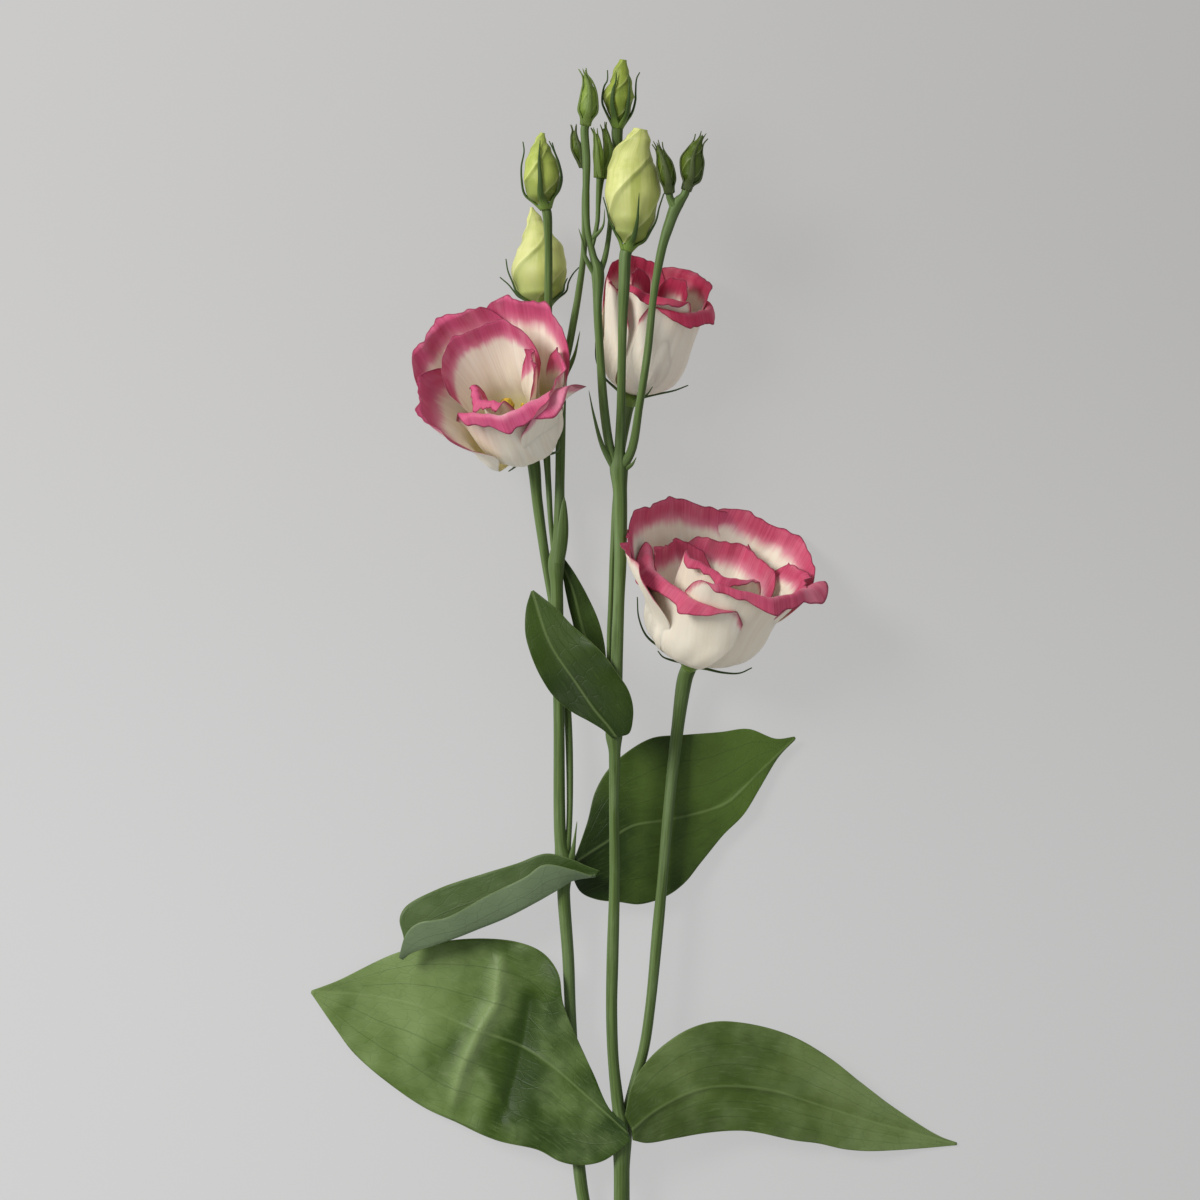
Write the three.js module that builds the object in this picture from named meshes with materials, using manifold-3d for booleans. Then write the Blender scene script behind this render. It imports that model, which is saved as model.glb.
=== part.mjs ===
// A cut spray of double lisianthus, laid on its back on a flat surface.
// Millimetres. +Y runs up the stem, +X to the right of the open side, +Z up from the surface.
// The origin lies on the surface under the middle of the spray.

import * as THREE from 'three';
import Module from 'manifold-3d';
import { mergeVertices } from 'three/addons/utils/BufferGeometryUtils.js';

const wasm = await Module();
wasm.setup();

// Driving dimensions
const CLEARANCE = 0.3;           // gap between neighbouring pieces
const LEAF_THICKNESS = 0.8;
const PETAL_THICKNESS = 0.7;
const SEPAL_THICKNESS = 0.9;
const STEM_SIDES = 6;
const STEM_STEP = 17;            // length of one straight stretch of stem
const BLOOM_CUP = 3.8;           // height of the green cup under a bloom
const BUD_CUP = 2;               // height of the green cup under a bud
const BLOOM_SEPAL_WIDTH = 2.4;
const BUD_SEPAL_WIDTH = 2.8;
const SMALL_SEPAL_WIDTH = 1.7;
const BUD_SEPAL_OFF = 1.4;       // distance of a sepal's middle from the bud that it lies along
const SMALL_SEPAL_OFF = 0.45;
const SURFACE_SIZE = 600;

// Finishes: colour, roughness
const FINISH = {
  stem: { color: 0x6f8a5c, roughness: 0.6 },
  leaf: { color: 0x5a7a44, roughness: 0.55 },
  calyx: { color: 0x6f9150, roughness: 0.6 },
  petal: { color: 0xf1e9d6, roughness: 0.7 },
  bud: { color: 0xcfd99a, roughness: 0.65 },
  greenBud: { color: 0x7fa24f, roughness: 0.6 },
  stamens: { color: 0xb7a440, roughness: 0.7 },
};

const radians = THREE.MathUtils.degToRad;
const smoothstep = THREE.MathUtils.smoothstep;
const lerp = THREE.MathUtils.lerp;
const vector = (xyz) => new THREE.Vector3(xyz[0], xyz[1], xyz[2]);

// Solids

function solidOf(positions, triangles) {
  const geometry = new THREE.BufferGeometry();
  geometry.setAttribute('position', new THREE.Float32BufferAttribute(positions, 3));
  geometry.setIndex(triangles);
  const merged = mergeVertices(geometry, 1e-5);
  return new wasm.Manifold(new wasm.Mesh({
    numProp: 3,
    vertProperties: new Float32Array(merged.attributes.position.array),
    triVerts: new Uint32Array(merged.index.array),
  }));
}

function solidOfGeometry(geometry) {
  const bare = geometry.index ? geometry.toNonIndexed() : geometry;
  const positions = Array.from(bare.attributes.position.array);
  return solidOf(positions, positions.slice(0, positions.length / 3).map((_, i) => i));
}

// The largest closed shell of a solid: loose scraps go, and sealed hollows are filled.
function mainShell(solid) {
  return solid.decompose().reduce((best, shell) => (shell.volume() > best.volume() ? shell : best));
}

function fuse(solids) {
  return mainShell(wasm.Manifold.union(solids));
}

// A tube from rings of points, closed by a fan at each end. rings[i][k] is a point.
function tubeOfRings(rings) {
  const sides = rings[0].length;
  const positions = rings.flatMap((ring) => ring.flatMap((point) => point.toArray()));
  const triangles = [];
  for (let i = 0; i + 1 < rings.length; i += 1) {
    for (let k = 0; k < sides; k += 1) {
      const a = i * sides + k;
      const b = i * sides + ((k + 1) % sides);
      triangles.push(a, b, b + sides, a, b + sides, a + sides);
    }
  }
  const last = (rings.length - 1) * sides;
  for (let k = 1; k + 1 < sides; k += 1) {
    triangles.push(0, k + 1, k);
    triangles.push(last, last + k, last + k + 1);
  }
  return solidOf(positions, triangles);
}

// A smooth curve through points [x, y, z, radius]; at(t) gives place, radius and axes.
function pathThrough(points) {
  const curve = new THREE.CatmullRomCurve3(points.map(vector), false, 'centripetal');
  const radii = points.map((point) => point[3]);
  const place = (t) => curve.getPoint(t);
  const radius = (t) => {
    const spot = Math.min(t * (radii.length - 1), radii.length - 1.000001);
    const i = Math.floor(spot);
    return lerp(radii[i], radii[i + 1], smoothstep(spot - i, 0, 1));
  };
  return { curve, place, radius, spans: radii.length - 1 };
}

// A round stem along points [x, y, z, radius], thicker all over by extra.
function branch(points, extra = 0, sides = STEM_SIDES) {
  const path = pathThrough(points);
  const steps = Math.max(path.spans, Math.round(path.curve.getLength() / STEM_STEP));
  const rings = [];
  for (let i = 0; i <= steps; i += 1) {
    const t = i / steps;
    const along = path.curve.getTangent(t);
    const side = new THREE.Vector3(0, 0, 1).cross(along).normalize();
    const over = along.clone().cross(side);
    const radius = path.radius(t) + extra;
    const ring = [];
    for (let k = 0; k < sides; k += 1) {
      const turn = (2 * Math.PI * (k + 0.5)) / sides;
      ring.push(path.place(t)
        .addScaledVector(side, radius * Math.cos(turn))
        .addScaledVector(over, radius * Math.sin(turn)));
    }
    rings.push(ring);
  }
  return tubeOfRings(rings);
}

// A thin blade of even thickness on surface(u, v), u from -1 to 1 across and v from 0 to 1 along.
// Both faces are split into triangles alike.
function blade(surface, across, along, thickness) {
  const step = 1e-3;
  const front = [];
  const back = [];
  for (let j = 0; j <= along; j += 1) {
    for (let i = 0; i <= across; i += 1) {
      const u = (2 * i) / across - 1;
      const v = j / along;
      const alongU = surface(Math.min(u + step, 1), v).sub(surface(Math.max(u - step, -1), v));
      const alongV = surface(u, Math.min(v + step, 1)).sub(surface(u, Math.max(v - step, 0)));
      const normal = alongU.cross(alongV).normalize().multiplyScalar(thickness / 2);
      const point = surface(u, v);
      front.push(point.clone().add(normal));
      back.push(point.clone().sub(normal));
    }
  }
  const count = front.length;
  const row = across + 1;
  const triangles = [];
  for (let j = 0; j < along; j += 1) {
    for (let i = 0; i < across; i += 1) {
      const a = j * row + i;
      triangles.push(a, a + 1, a + row + 1, a, a + row + 1, a + row);
      triangles.push(count + a, count + a + row + 1, count + a + 1);
      triangles.push(count + a, count + a + row, count + a + row + 1);
    }
  }
  const rim = [];
  for (let i = 0; i < across; i += 1) rim.push(i);
  for (let j = 0; j < along; j += 1) rim.push(j * row + across);
  for (let i = across; i > 0; i -= 1) rim.push(along * row + i);
  for (let j = along; j > 0; j -= 1) rim.push(j * row);
  rim.forEach((a, k) => {
    const b = rim[(k + 1) % rim.length];
    triangles.push(a, count + a, count + b, a, count + b, b);
  });
  return solidOf([...front, ...back].flatMap((point) => point.toArray()), triangles);
}

// A pointed strap along a curve: widest at a third of its length, three-sided, with its flat side
// towards what it lies on.
function strap(points, width, thickness, outward, steps = 4) {
  const curve = new THREE.CatmullRomCurve3(points.map(vector), false, 'centripetal');
  const rings = [];
  for (let i = 0; i <= steps; i += 1) {
    const t = i / steps;
    const along = curve.getTangent(t);
    const side = vector(outward).cross(along).normalize();
    const over = along.clone().cross(side);
    const half = (width / 2) * (0.6 + 1.6 * t - 2.05 * t * t);
    const depth = (thickness / 2) * (1 - 0.45 * t);
    const place = curve.getPoint(t);
    rings.push([
      place.clone().addScaledVector(side, half).addScaledVector(over, depth),
      place.clone().addScaledVector(side, -half).addScaledVector(over, depth),
      place.clone().addScaledVector(over, -depth),
    ]);
  }
  return tubeOfRings(rings);
}

// Stems: points [x, y, z, radius] from the lower end up. A stalk ends at the foot of the bloom or bud
// that it carries, with the given radius.
const STEMS = [
  {
    points: [
      [-2.2, -226.7, 2.9, 3.1], [-4.2, -196.7, 4.6, 3.0], [-4.2, -170, 7.5, 2.75],
      [-4.2, -146.3, 10.5, 2.65], [-4.3, -130.7, 13, 3.5], [-5.4, -123, 13.9, 2.1], [-7, -108, 15.5, 1.85], [-7.6, -91, 17.2, 1.9],
      [-7.3, -73.3, 18.8, 2.0], [-6.6, -46, 20.8, 1.8], [-6.8, -22, 22.6, 1.65], [-6.6, -5, 24, 1.95],
      [-6.8, 2.3, 24.5, 2.9], [-6.2, 12, 25.2, 2.05], [-5.8, 29, 26.4, 2.0], [-5.2, 46.7, 27.6, 1.9],
      [-4.7, 61, 28.4, 2.1], [-4.8, 82, 29.8, 2.35], [-5.2, 91, 30.3, 3.1], [-4.9, 97, 32, 1.8],
      [-4.5, 112, 36, 1.45], [-4.2, 129, 40, 1.4], [-4, 139.3, 42, 1.55], [-3.5, 151, 44, 1.9],
    ],
    carries: 'bud_g',
    radius: 2.0,
  },
  {
    points: [
      [-4.2, -199, 4.6, 2.2], [-9, -180, 5, 2.1], [-15.5, -162, 5.8, 2.05], [-18.3, -146.3, 6, 2.1],
      [-20, -120, 6.3, 2.0], [-21.5, -91, 7.5, 1.9], [-22.2, -73.3, 9, 2.0], [-23.7, -52, 11.3, 2.15],
      [-23.7, -42.7, 12, 3.1], [-24.8, -34, 11.9, 2.0], [-25.3, 8, 10.5, 1.85], [-26, 50, 9.3, 2.1],
      [-26.2, 59, 9, 2.8], [-25.4, 67, 8.8, 2.0], [-25, 86.7, 8, 1.6], [-24.7, 105, 7.3, 1.65],
      [-24.5, 122.7, 7, 2.2], [-22.6, 129, 8, 1.25], [-20.2, 141, 14, 1.25], [-18.7, 149.3, 20, 1.15],
      [-16.8, 164, 28.5, 1.0], [-16.7, 180, 34, 0.9],
    ],
    carries: 'bud_i',
    radius: 0.9,
  },
  {
    points: [
      [-23.3, -42, 12, 1.6], [-21.9, -30, 11, 1.0], [-22.1, 4, 8.3, 1.25], [-24.5, 30, 5.2, 1.45],
      [-27.5, 46.7, 4.8, 1.5], [-30.4, 64, 4.6, 1.6], [-32.6, 80, 4.6, 1.8],
    ],
    carries: 'bloom_1',
    radius: 2.2,
  },
  {
    points: [
      [-26.3, 59, 9, 1.2], [-27.7, 68.7, 8.2, 0.8], [-28.8, 85, 7.2, 1.0], [-29.6, 100, 7.2, 1.3],
      [-29.4, 120, 10, 1.35], [-28.8, 147, 22, 1.35], [-28.7, 165, 27, 1.3],
    ],
    carries: 'bud_d',
    radius: 1.6,
  },
  {
    points: [[-24.6, 122, 7, 1.5], [-26.6, 132, 8.6, 1.2]],
    carries: 'bud_e',
    radius: 1.8,
  },
  {
    points: [
      [-6.8, 2, 24, 1.6], [-7.9, 13.3, 22.4, 0.95], [-8.5, 30, 22.3, 0.8], [-7.9, 46.7, 22.3, 0.85],
      [-7.3, 63, 21, 0.9], [-6.2, 80, 16.5, 1.1], [-4.6, 95, 9.6, 1.3],
    ],
    carries: 'bloom_2',
    radius: 1.9,
  },
  {
    points: [
      [-3.8, -131, 12.6, 2.0], [0, -116, 11.6, 1.75], [3.3, -103.7, 11.6, 1.75], [5.5, -88.7, 11.8, 1.7],
      [8, -62.7, 11.8, 1.9], [9.4, -48, 11.6, 1.75], [11.7, -22, 11, 1.85], [14.3, 1.3, 8.8, 2.1],
    ],
    carries: 'bloom_3',
    radius: 2.6,
  },
  {
    points: [
      [-5.3, 90, 30.3, 2.0], [-7.8, 96, 31, 1.5], [-9.9, 108.3, 33, 1.55], [-11.5, 129, 36, 1.35],
      [-12.3, 144, 38.4, 1.45], [-12.3, 155.7, 40, 2.2], [-13.8, 161, 40.6, 1.2], [-15.6, 169.7, 41.6, 1.0],
      [-16.1, 181, 42.6, 1.15], [-16, 193, 43.6, 1.35],
    ],
    carries: 'bud_h',
    radius: 1.4,
  },
  {
    points: [
      [-12.2, 155, 40, 1.6], [-10.4, 158.6, 39, 1.0], [-8.8, 166, 36.6, 0.85], [-7.8, 176, 34.2, 0.85],
      [-6.8, 187, 33.8, 1.2], [-5.7, 196, 35.6, 1.6],
    ],
    carries: 'bud_f',
    radius: 1.9,
  },
  {
    points: [[-14.4, 163.5, 41, 0.9], [-12.4, 171.7, 41, 0.75], [-12.1, 180, 41.2, 0.8]],
    carries: 'bud_m',
    radius: 0.8,
  },
  {
    points: [[-12.3, 175, 41, 0.7], [-11.6, 181, 40.8, 0.7]],
    carries: 'bud_n',
    radius: 0.8,
  },
  {
    points: [
      [-4.8, 90.5, 30.3, 2.0], [-1.2, 96, 33, 1.5], [1.7, 112, 38, 1.3], [4.3, 129, 42.6, 1.3],
      [6.3, 147.7, 46.4, 1.2], [9, 163, 48, 1.5], [11.4, 171, 48.3, 1.8], [14, 177.6, 48.5, 2.1],
    ],
    carries: 'bud_j',
    radius: 1.4,
  },
  { points: [[13.6, 176.6, 48.5, 1.9]], carries: 'bud_k', radius: 1.2 },
];

// Small pointed leaves at the nodes: [points from root to tip, width, direction that they face]
const BRACTS = [
  [[[-21.2, -41, 13.4], [-20.2, -35, 14.6], [-19.2, -27.5, 15]], 2.6, [0, 0, 1]],
  [[[-25.4, 57, 10.6], [-24, 69, 13.2], [-23.5, 81.3, 13.6]], 4.6, [0.4, 0, 1]],
  [[[-23.6, 122.5, 8.4], [-20.4, 128, 11.2], [-18.2, 137, 11.6]], 2.8, [0, 0, 1]],
  [[[-6.6, 90.5, 31], [-10.7, 98, 33.4], [-13.6, 108.3, 36.4], [-15.2, 116.3, 37]], 2.6, [0, 0, 1]],
  [[[-3.4, 90.4, 31.4], [-0.9, 91.8, 32.8], [0.6, 94.2, 34]], 2.4, [0, 0, 1]],
  [[[-13, 154.6, 40.6], [-16.4, 160.5, 42.4], [-17.4, 166, 43], [-18.6, 170, 43]], 2.2, [0, 0, 1]],
  [[[-14, 166.6, 41.4], [-10.6, 170.5, 42.6], [-9.9, 176.5, 42.6]], 1.8, [0, 0, 1]],
];

// Leaves: three rails of [x, y, z] from the base to the tip, and the height of their waves
const LEAVES = {
  leaf_1: {
    upper: [
      [-2.5, -129, 17.6], [-8.2, -124, 15.6], [-13.8, -112, 14], [-19.2, -100.3, 12.8], [-23.8, -89, 12],
      [-25.5, -78.7, 11.4], [-30.5, -72, 10.4], [-39.2, -68.3, 9], [-57.2, -67.3, 6.8], [-78.8, -71.7, 4.2],
      [-100.8, -82, 1.6], [-108.8, -85, 0.2],
    ],
    middle: [
      [-2.2, -131.7, 17.8], [-15.5, -120, 14.2], [-28.5, -109, 11], [-39.2, -102.7, 9], [-53.8, -97.7, 6.6],
      [-71.8, -90.3, 4], [-92, -86.4, 1.6], [-108.9, -85.4, 0.1],
    ],
    lower: [
      [-1.2, -134.3, 17.6], [-10.2, -141.3, 15], [-18.2, -143, 12.6], [-24.8, -142, 10.6],
      [-32.2, -138.3, 9], [-46.5, -135, 6.8], [-60.8, -128.7, 5], [-71.8, -123.7, 4],
      [-93.5, -107, 2.2], [-100.8, -97.7, 1.4], [-109, -85.9, 0.2],
    ],
    wave: 1.1,
    waves: 3,
  },
  leaf_2: {
    upper: [
      [-3.2, -126, 17.8], [-0.5, -115.3, 16.6], [4.2, -108, 15.9], [10.2, -102.3, 14.8], [18.8, -97, 13.2],
      [28.5, -94.7, 11.6], [43.5, -96.7, 10], [54.8, -100.7, 9], [65.8, -107.3, 7.4], [76.8, -116, 5.6],
      [88.2, -124.7, 3.6], [103.2, -134.2, 1], [108.8, -136.2, 0.2],
    ],
    middle: [
      [-0.8, -130.8, 17.8], [6.2, -125, 15.6], [17.5, -119, 13], [26.5, -116.7, 11.4], [36.2, -116.7, 9.8],
      [47.2, -118.3, 8.2], [58.5, -122, 6.6], [69.5, -125.7, 4.8], [80.8, -129.3, 3.2], [91.8, -132.3, 1.8],
      [109, -136.7, 0.1],
    ],
    lower: [
      [-0.5, -134.3, 17.4], [4.2, -135.4, 14.8], [13.8, -134, 12.2], [24.8, -132.3, 10.4],
      [36.2, -131.7, 9], [43.5, -132.7, 8.2], [53.2, -135, 7], [62.2, -136.3, 6], [71.2, -138.3, 5],
      [80.8, -138.9, 3.6], [95.5, -138.3, 1.6], [108.8, -137.2, 0.2],
    ],
    wave: 0.9,
    waves: 3,
  },
  leaf_3: {
    upper: [
      [-11.5, -44.1, 17.2], [-16.2, -42.3, 16.5], [-20.8, -40.3, 16], [-29.5, -38.3, 15.3], [-39.5, -41.7, 14],
      [-51.2, -45.3, 13], [-65.2, -50, 12], [-76.8, -56.3, 12], [-78.8, -60.5, 12], [-77.4, -67, 12],
      [-77.6, -73.2, 10.4],
    ],
    middle: [
      [-13, -45.6, 16.5], [-20.8, -47, 15.7], [-25.8, -50, 15.6], [-34.8, -55, 15.8], [-44.2, -59.7, 15.2],
      [-53.5, -63.3, 14.6], [-67.5, -69, 13.6], [-75.2, -71.9, 12.4], [-77.8, -74, 11.8],
    ],
    lower: [
      [-14.2, -45.9, 18.1], [-20, -43.8, 19.4], [-30.2, -41.9, 19.6], [-36.5, -46, 19.6], [-48.8, -52, 19],
      [-62.8, -59.6, 18], [-72.4, -61.6, 16.8], [-76.4, -65, 15.2], [-79, -73.2, 13.4],
    ],
    wave: 0.5,
    waves: 2,
    folded: true,
  },
  leaf_4: {
    upper: [
      [-20, -40.3, 10.2], [-15.8, -28, 8], [-13.2, -18, 6.6], [-8.8, -10.3, 5.8], [-2.2, -4.3, 5.4],
      [6.2, 0.3, 5.2], [16.5, 1.3, 5], [29.2, 2.3, 5], [38.5, 3.3, 4.8], [47.8, 0, 4], [54, 0.7, 3],
    ],
    middle: [
      [-21.4, -42.4, 10.2], [-9.8, -35, 8.2], [-0.5, -29.3, 7.4], [11.5, -27.3, 6.4], [25.2, -24, 5.2],
      [31.8, -21.3, 4.6], [41.8, -11.7, 3.8], [54.4, 0.2, 2.9],
    ],
    lower: [
      [-21.2, -45.4, 9.8], [-18, -51.5, 8.2], [-12.8, -54, 7.6], [-4.5, -55, 7], [1.8, -55.7, 6.6],
      [10.8, -53, 6], [16.8, -48.7, 5.4], [22.5, -41.7, 4.8], [30.2, -32.3, 4.2], [36.8, -25.7, 3.6],
      [42.2, -17, 3.2], [48.8, -6, 2.8], [54.2, -0.5, 2.8],
    ],
    wave: 0.6,
    waves: 3,
  },
  leaf_5: {
    upper: [
      [-23.4, 60.5, 7.4], [-20.2, 56, 7.2], [-15.8, 48.3, 6.8], [-11.5, 38.3, 6.2], [-9.5, 28, 5.6],
      [-9.8, 13.8, 4.7],
    ],
    middle: [[-24, 58.5, 6.6], [-20.6, 50, 6.4], [-17.6, 38.3, 5.8], [-14.4, 26.7, 5.2], [-10.4, 13.2, 4.6]],
    lower: [[-24.2, 56, 6.2], [-22.6, 47, 5.8], [-20.4, 38, 5.2], [-18.2, 28, 4.8], [-11.1, 13.8, 4.5]],
    wave: 0.3,
    waves: 2,
  },
  leaf_6: {
    upper: [
      [-4.6, 1.2, 28.6], [-1.8, 2.2, 28.8], [-0.5, 7, 29.2], [-0.6, 12, 29.6], [-2.2, 17, 29.8],
      [-5.5, 22, 29.8], [-9.8, 28, 29], [-14.8, 33, 27.8], [-20.8, 38.3, 26], [-26.2, 44, 24.4],
      [-31.2, 48, 22.8], [-33.8, 50, 21.8],
    ],
    middle: [
      [-6, 1, 28.6], [-8.6, 4.6, 28.4], [-13.2, 10, 27.6], [-19.2, 18.7, 25.8], [-28.2, 32.3, 23.4],
      [-34.2, 49.7, 21.6],
    ],
    lower: [
      [-7.4, 0.6, 28.4], [-10.6, 3.4, 28], [-14.8, 6, 27.2], [-20.8, 9.3, 26.2], [-26.8, 14.3, 25.2],
      [-31.5, 21.3, 24.4], [-34.8, 29, 23.8], [-36.5, 35.7, 23], [-36.2, 44, 22.2], [-34.6, 49.6, 21.6],
    ],
    wave: 0.5,
    waves: 2,
  },
};
const LEAF_CELLS = { across: 6, along: 10 };

// A leaf between its rails: from the middle rail the surface runs out to each edge rail, straight or,
// in a folded leaf, round the fold in an arc. Waves grow towards the edges.
function leafSurface({ upper, middle, lower, wave, waves, folded }) {
  const rails = [lower, middle, upper].map((rail) => (
    new THREE.CatmullRomCurve3(rail.map(vector), false, 'centripetal')));
  return (u, v) => {
    const [low, mid, high] = rails.map((rail) => rail.getPointAt(v));
    const bow = folded ? u * u : Math.abs(u);
    const point = mid.clone().multiplyScalar(1 - bow)
      .addScaledVector(low, (bow - u) / 2)
      .addScaledVector(high, (bow + u) / 2);
    const lift = wave * Math.sin(2 * Math.PI * waves * v + (u < 0 ? 0 : 1.7));
    point.z += lift * u * u * Math.sin(Math.PI * v);
    return point;
  };
}

function buildLeaf(leaf, stemRoom) {
  const solid = blade(leafSurface(leaf), LEAF_CELLS.across, LEAF_CELLS.along, LEAF_THICKNESS);
  return mainShell(solid.subtract(stemRoom));
}

// Blooms: base and mouth centre of the cup, and its petals in layers. For a petal: the side it stands on
// (degrees round the axis, 0 to the right and 270 towards the open side), half its width, its distance
// from the axis at the body and at the rim, its height, how far its lip curls over, and its layer
// (how far it stands off the middle layer).
const ROOT_RADIUS = 2.4;
const ROOT_HEIGHT = 0.8;
const LIP_START = 0.84;          // share of a petal's length from which its lip rolls over
const CORE_HEIGHT = 5;
const CORE_SHARE = 0.5;          // core radius as a share of the slimmest outer petal's body
const OUTER_PETALS = 5;          // the first petals of a bloom stand in its outer ring
const PINWHEEL = 0.9;
const RUFFLE = 0.9;
const BLOOMS = {
  bloom_1: {
    base: [-36, 97.6, 12.6],
    mouth: [-47.8, 123, 46.6],
    petals: [
      { side: 192, half: 20, body: 15, rim: 20, height: 44, lip: 4, layer: 1.6 },
      { side: 128, half: 22, body: 18, rim: 26, height: 46, lip: 2.5, layer: 1.6 },
      { side: 66, half: 22, body: 17, rim: 26.7, height: 47, lip: 2, layer: 1.6 },
      { side: 348, half: 19, body: 15, rim: 19.7, height: 43, lip: 2, layer: 1.6 },
      { side: 274, half: 20, body: 14, rim: 14, height: 46, lip: 5.5, layer: 1.6 },
      { side: 133, half: 15, body: 15, rim: 19.6, height: 43, lip: 1, layer: -2.8 },
      { side: 52, half: 12, body: 14, rim: 17.6, height: 43, lip: 1, layer: -2.8 },
      { side: 232, half: 11, body: 10.5, rim: 10, height: 40, lip: 4.5, layer: -3 },
    ],
    sepals: [
      { side: 250, reach: 0.24, off: 3.6, lift: 0.4 },
      { side: 325, reach: 0.5, off: 3.6, lift: 1.6 },
      { side: 30, reach: 0.4, off: 3.6, lift: 0.4 },
      { side: 110, reach: 0.4, off: 3.6, lift: 0.4 },
      { side: 180, reach: 0.4, off: 3.6, lift: 0.4 },
    ],
  },
  bloom_2: {
    base: [-0.8, 116, 8.6],
    mouth: [8.5, 151.7, 22],
    petals: [
      { side: 205, half: 15, body: 13, rim: 15, height: 41, lip: 2, layer: 1.2 },
      { side: 276, half: 14, body: 13, rim: 15, height: 40, lip: 3, layer: 1.2 },
      { side: 338, half: 13, body: 13.5, rim: 15, height: 34, lip: 5, layer: 1.6 },
      { side: 48, half: 14, body: 13.5, rim: 14.9, height: 41, lip: 3, layer: 1.2 },
      { side: 125, half: 15, body: 13.5, rim: 15.6, height: 43, lip: 1, layer: 1.2 },
      { side: 165, half: 10, body: 10.5, rim: 10.8, height: 41, lip: 0.5, layer: -2 },
      { side: 290, half: 9, body: 10.5, rim: 10.6, height: 38, lip: 1, layer: -2 },
      { side: 40, half: 10, body: 10.5, rim: 11.3, height: 40, lip: 0.5, layer: -2 },
    ],
    sepals: [
      { side: 178, reach: 0.5, off: 3.2, lift: 1 },
      { side: 0, reach: 0.34, off: 3.4, lift: 4 },
      { side: 290, reach: 0.34, off: 3.4, lift: 0.6 },
      { side: 130, reach: 0.3, off: 3, lift: 0 },
      { side: 50, reach: 0.3, off: 3, lift: 0 },
    ],
  },
  bloom_3: {
    base: [19.2, 26.6, 13.2],
    mouth: [31.2, 61.7, 30.4],
    petals: [
      { side: 186, half: 20, body: 19, rim: 30.6, height: 39, lip: 2.5, layer: 1.6 },
      { side: 126, half: 31, body: 18.5, rim: 31.2, height: 43.5, lip: 2, layer: 1.6 },
      { side: 62, half: 31, body: 19, rim: 32.7, height: 43.5, lip: 2, layer: 1.6 },
      { side: 8, half: 19, body: 19, rim: 32, height: 41, lip: 2.5, layer: 1.6 },
      { side: 312, half: 26, body: 19, rim: 25, height: 40, lip: 3.5, layer: 1.6 },
      { side: 232, half: 23, body: 19, rim: 20.5, height: 34, lip: 4.5, layer: 2.4 },
      { side: 262, half: 20, body: 16.5, rim: 17.5, height: 43, lip: 3.5, layer: -1.6 },
      { side: 68, half: 17, body: 15, rim: 23.6, height: 39.5, lip: 1, layer: -2.6 },
      { side: 140, half: 15, body: 15, rim: 21.6, height: 39.5, lip: 1, layer: -2.6 },
      { side: 205, half: 11, body: 12, rim: 12.6, height: 35, lip: 1, layer: -3.6 },
    ],
    sepals: [
      { side: 225, reach: 0.3, off: 4.9, lift: 0.2 },
      { side: 320, reach: 0.42, off: 3.6, lift: 2.6 },
      { side: 182, reach: 0.6, off: 4, lift: 1.2 },
      { side: 40, reach: 0.22, off: 3.4, lift: 0 },
      { side: 140, reach: 0.22, off: 3.4, lift: 0 },
    ],
  },
};
const PETAL_CELLS = { across: 6, along: 4 };
const SMALL_PETAL_CELLS = { across: 4, along: 4 };
const SMALL_PETAL = 13;          // half width of the widest small petal

// Axes of a bloom: along its axis, to its right and to its back.
function bloomAxes(bloom) {
  const base = vector(bloom.base);
  const axis = vector(bloom.mouth).sub(base).normalize();
  const right = new THREE.Vector3(1, 0, 0).addScaledVector(axis, -axis.x).normalize();
  const back = axis.clone().cross(right);
  const place = (side, out, up) => base.clone()
    .addScaledVector(axis, up)
    .addScaledVector(right, out * Math.cos(radians(side)))
    .addScaledVector(back, out * Math.sin(radians(side)));
  return { base, axis, place };
}

// Half-section of a petal at the share s of its length, moved outwards by offset: it leaves the root
// flat, turns up into the wall of the body, widens to the rim and rolls over at the lip.
function petalSection({ body, rim, height, lip }, s, offset) {
  const belly = Math.sin((Math.PI / 2) * Math.min(1, s / 0.55)) ** 0.8;
  const curl = Math.max(0, (s - LIP_START) / (1 - LIP_START));
  const lean = radians(20 + 45 * curl);
  const away = offset * smoothstep(s, 0, 0.3);
  const out = ROOT_RADIUS + (body - ROOT_RADIUS) * belly + (rim - body) * smoothstep(s, 0.5, 1.02)
    + 1.5 * lip * curl ** 2 + away * Math.cos(lean);
  const up = ROOT_HEIGHT + height * (0.3 * s + 0.7 * s ** 1.6) - lip * curl ** 3 - away * Math.sin(lean);
  return { out, up };
}

// A petal on the cup: rounded tip, narrow root, ruffled rim, one edge outside its neighbour's
// and the other inside. Where it reaches the surface, it lies flat on it.
function petalSurface(bloom, petal, phase) {
  const { place } = bloomAxes(bloom);
  return (u, v) => {
    const s = v * (1 - 0.04 * u * u - 0.14 * u ** 6);
    const ruffle = RUFFLE * s ** 5 * Math.sin(2 * Math.PI * 1.25 * u + phase);
    const { out, up } = petalSection(petal, s, petal.layer + PINWHEEL * u + ruffle);
    const half = petal.half * (0.1 + 0.9 * Math.sin((Math.PI / 2) * Math.min(1, s * 1.25)));
    const side = petal.side + THREE.MathUtils.radToDeg((u * half) / Math.max(out, half * 0.8));
    const point = place(side, out, up);
    point.z = Math.max(point.z, PETAL_THICKNESS / 2);
    return point;
  };
}

// A round lump between two heights on the bloom's axis, from [height, radius] pairs.
function lump(axes, profile, sides = 8) {
  const rings = profile.map(([up, radius]) => {
    const ring = [];
    for (let k = 0; k < sides; k += 1) ring.push(axes.place((360 * k) / sides, radius, up));
    return ring;
  });
  return tubeOfRings(rings);
}

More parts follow.
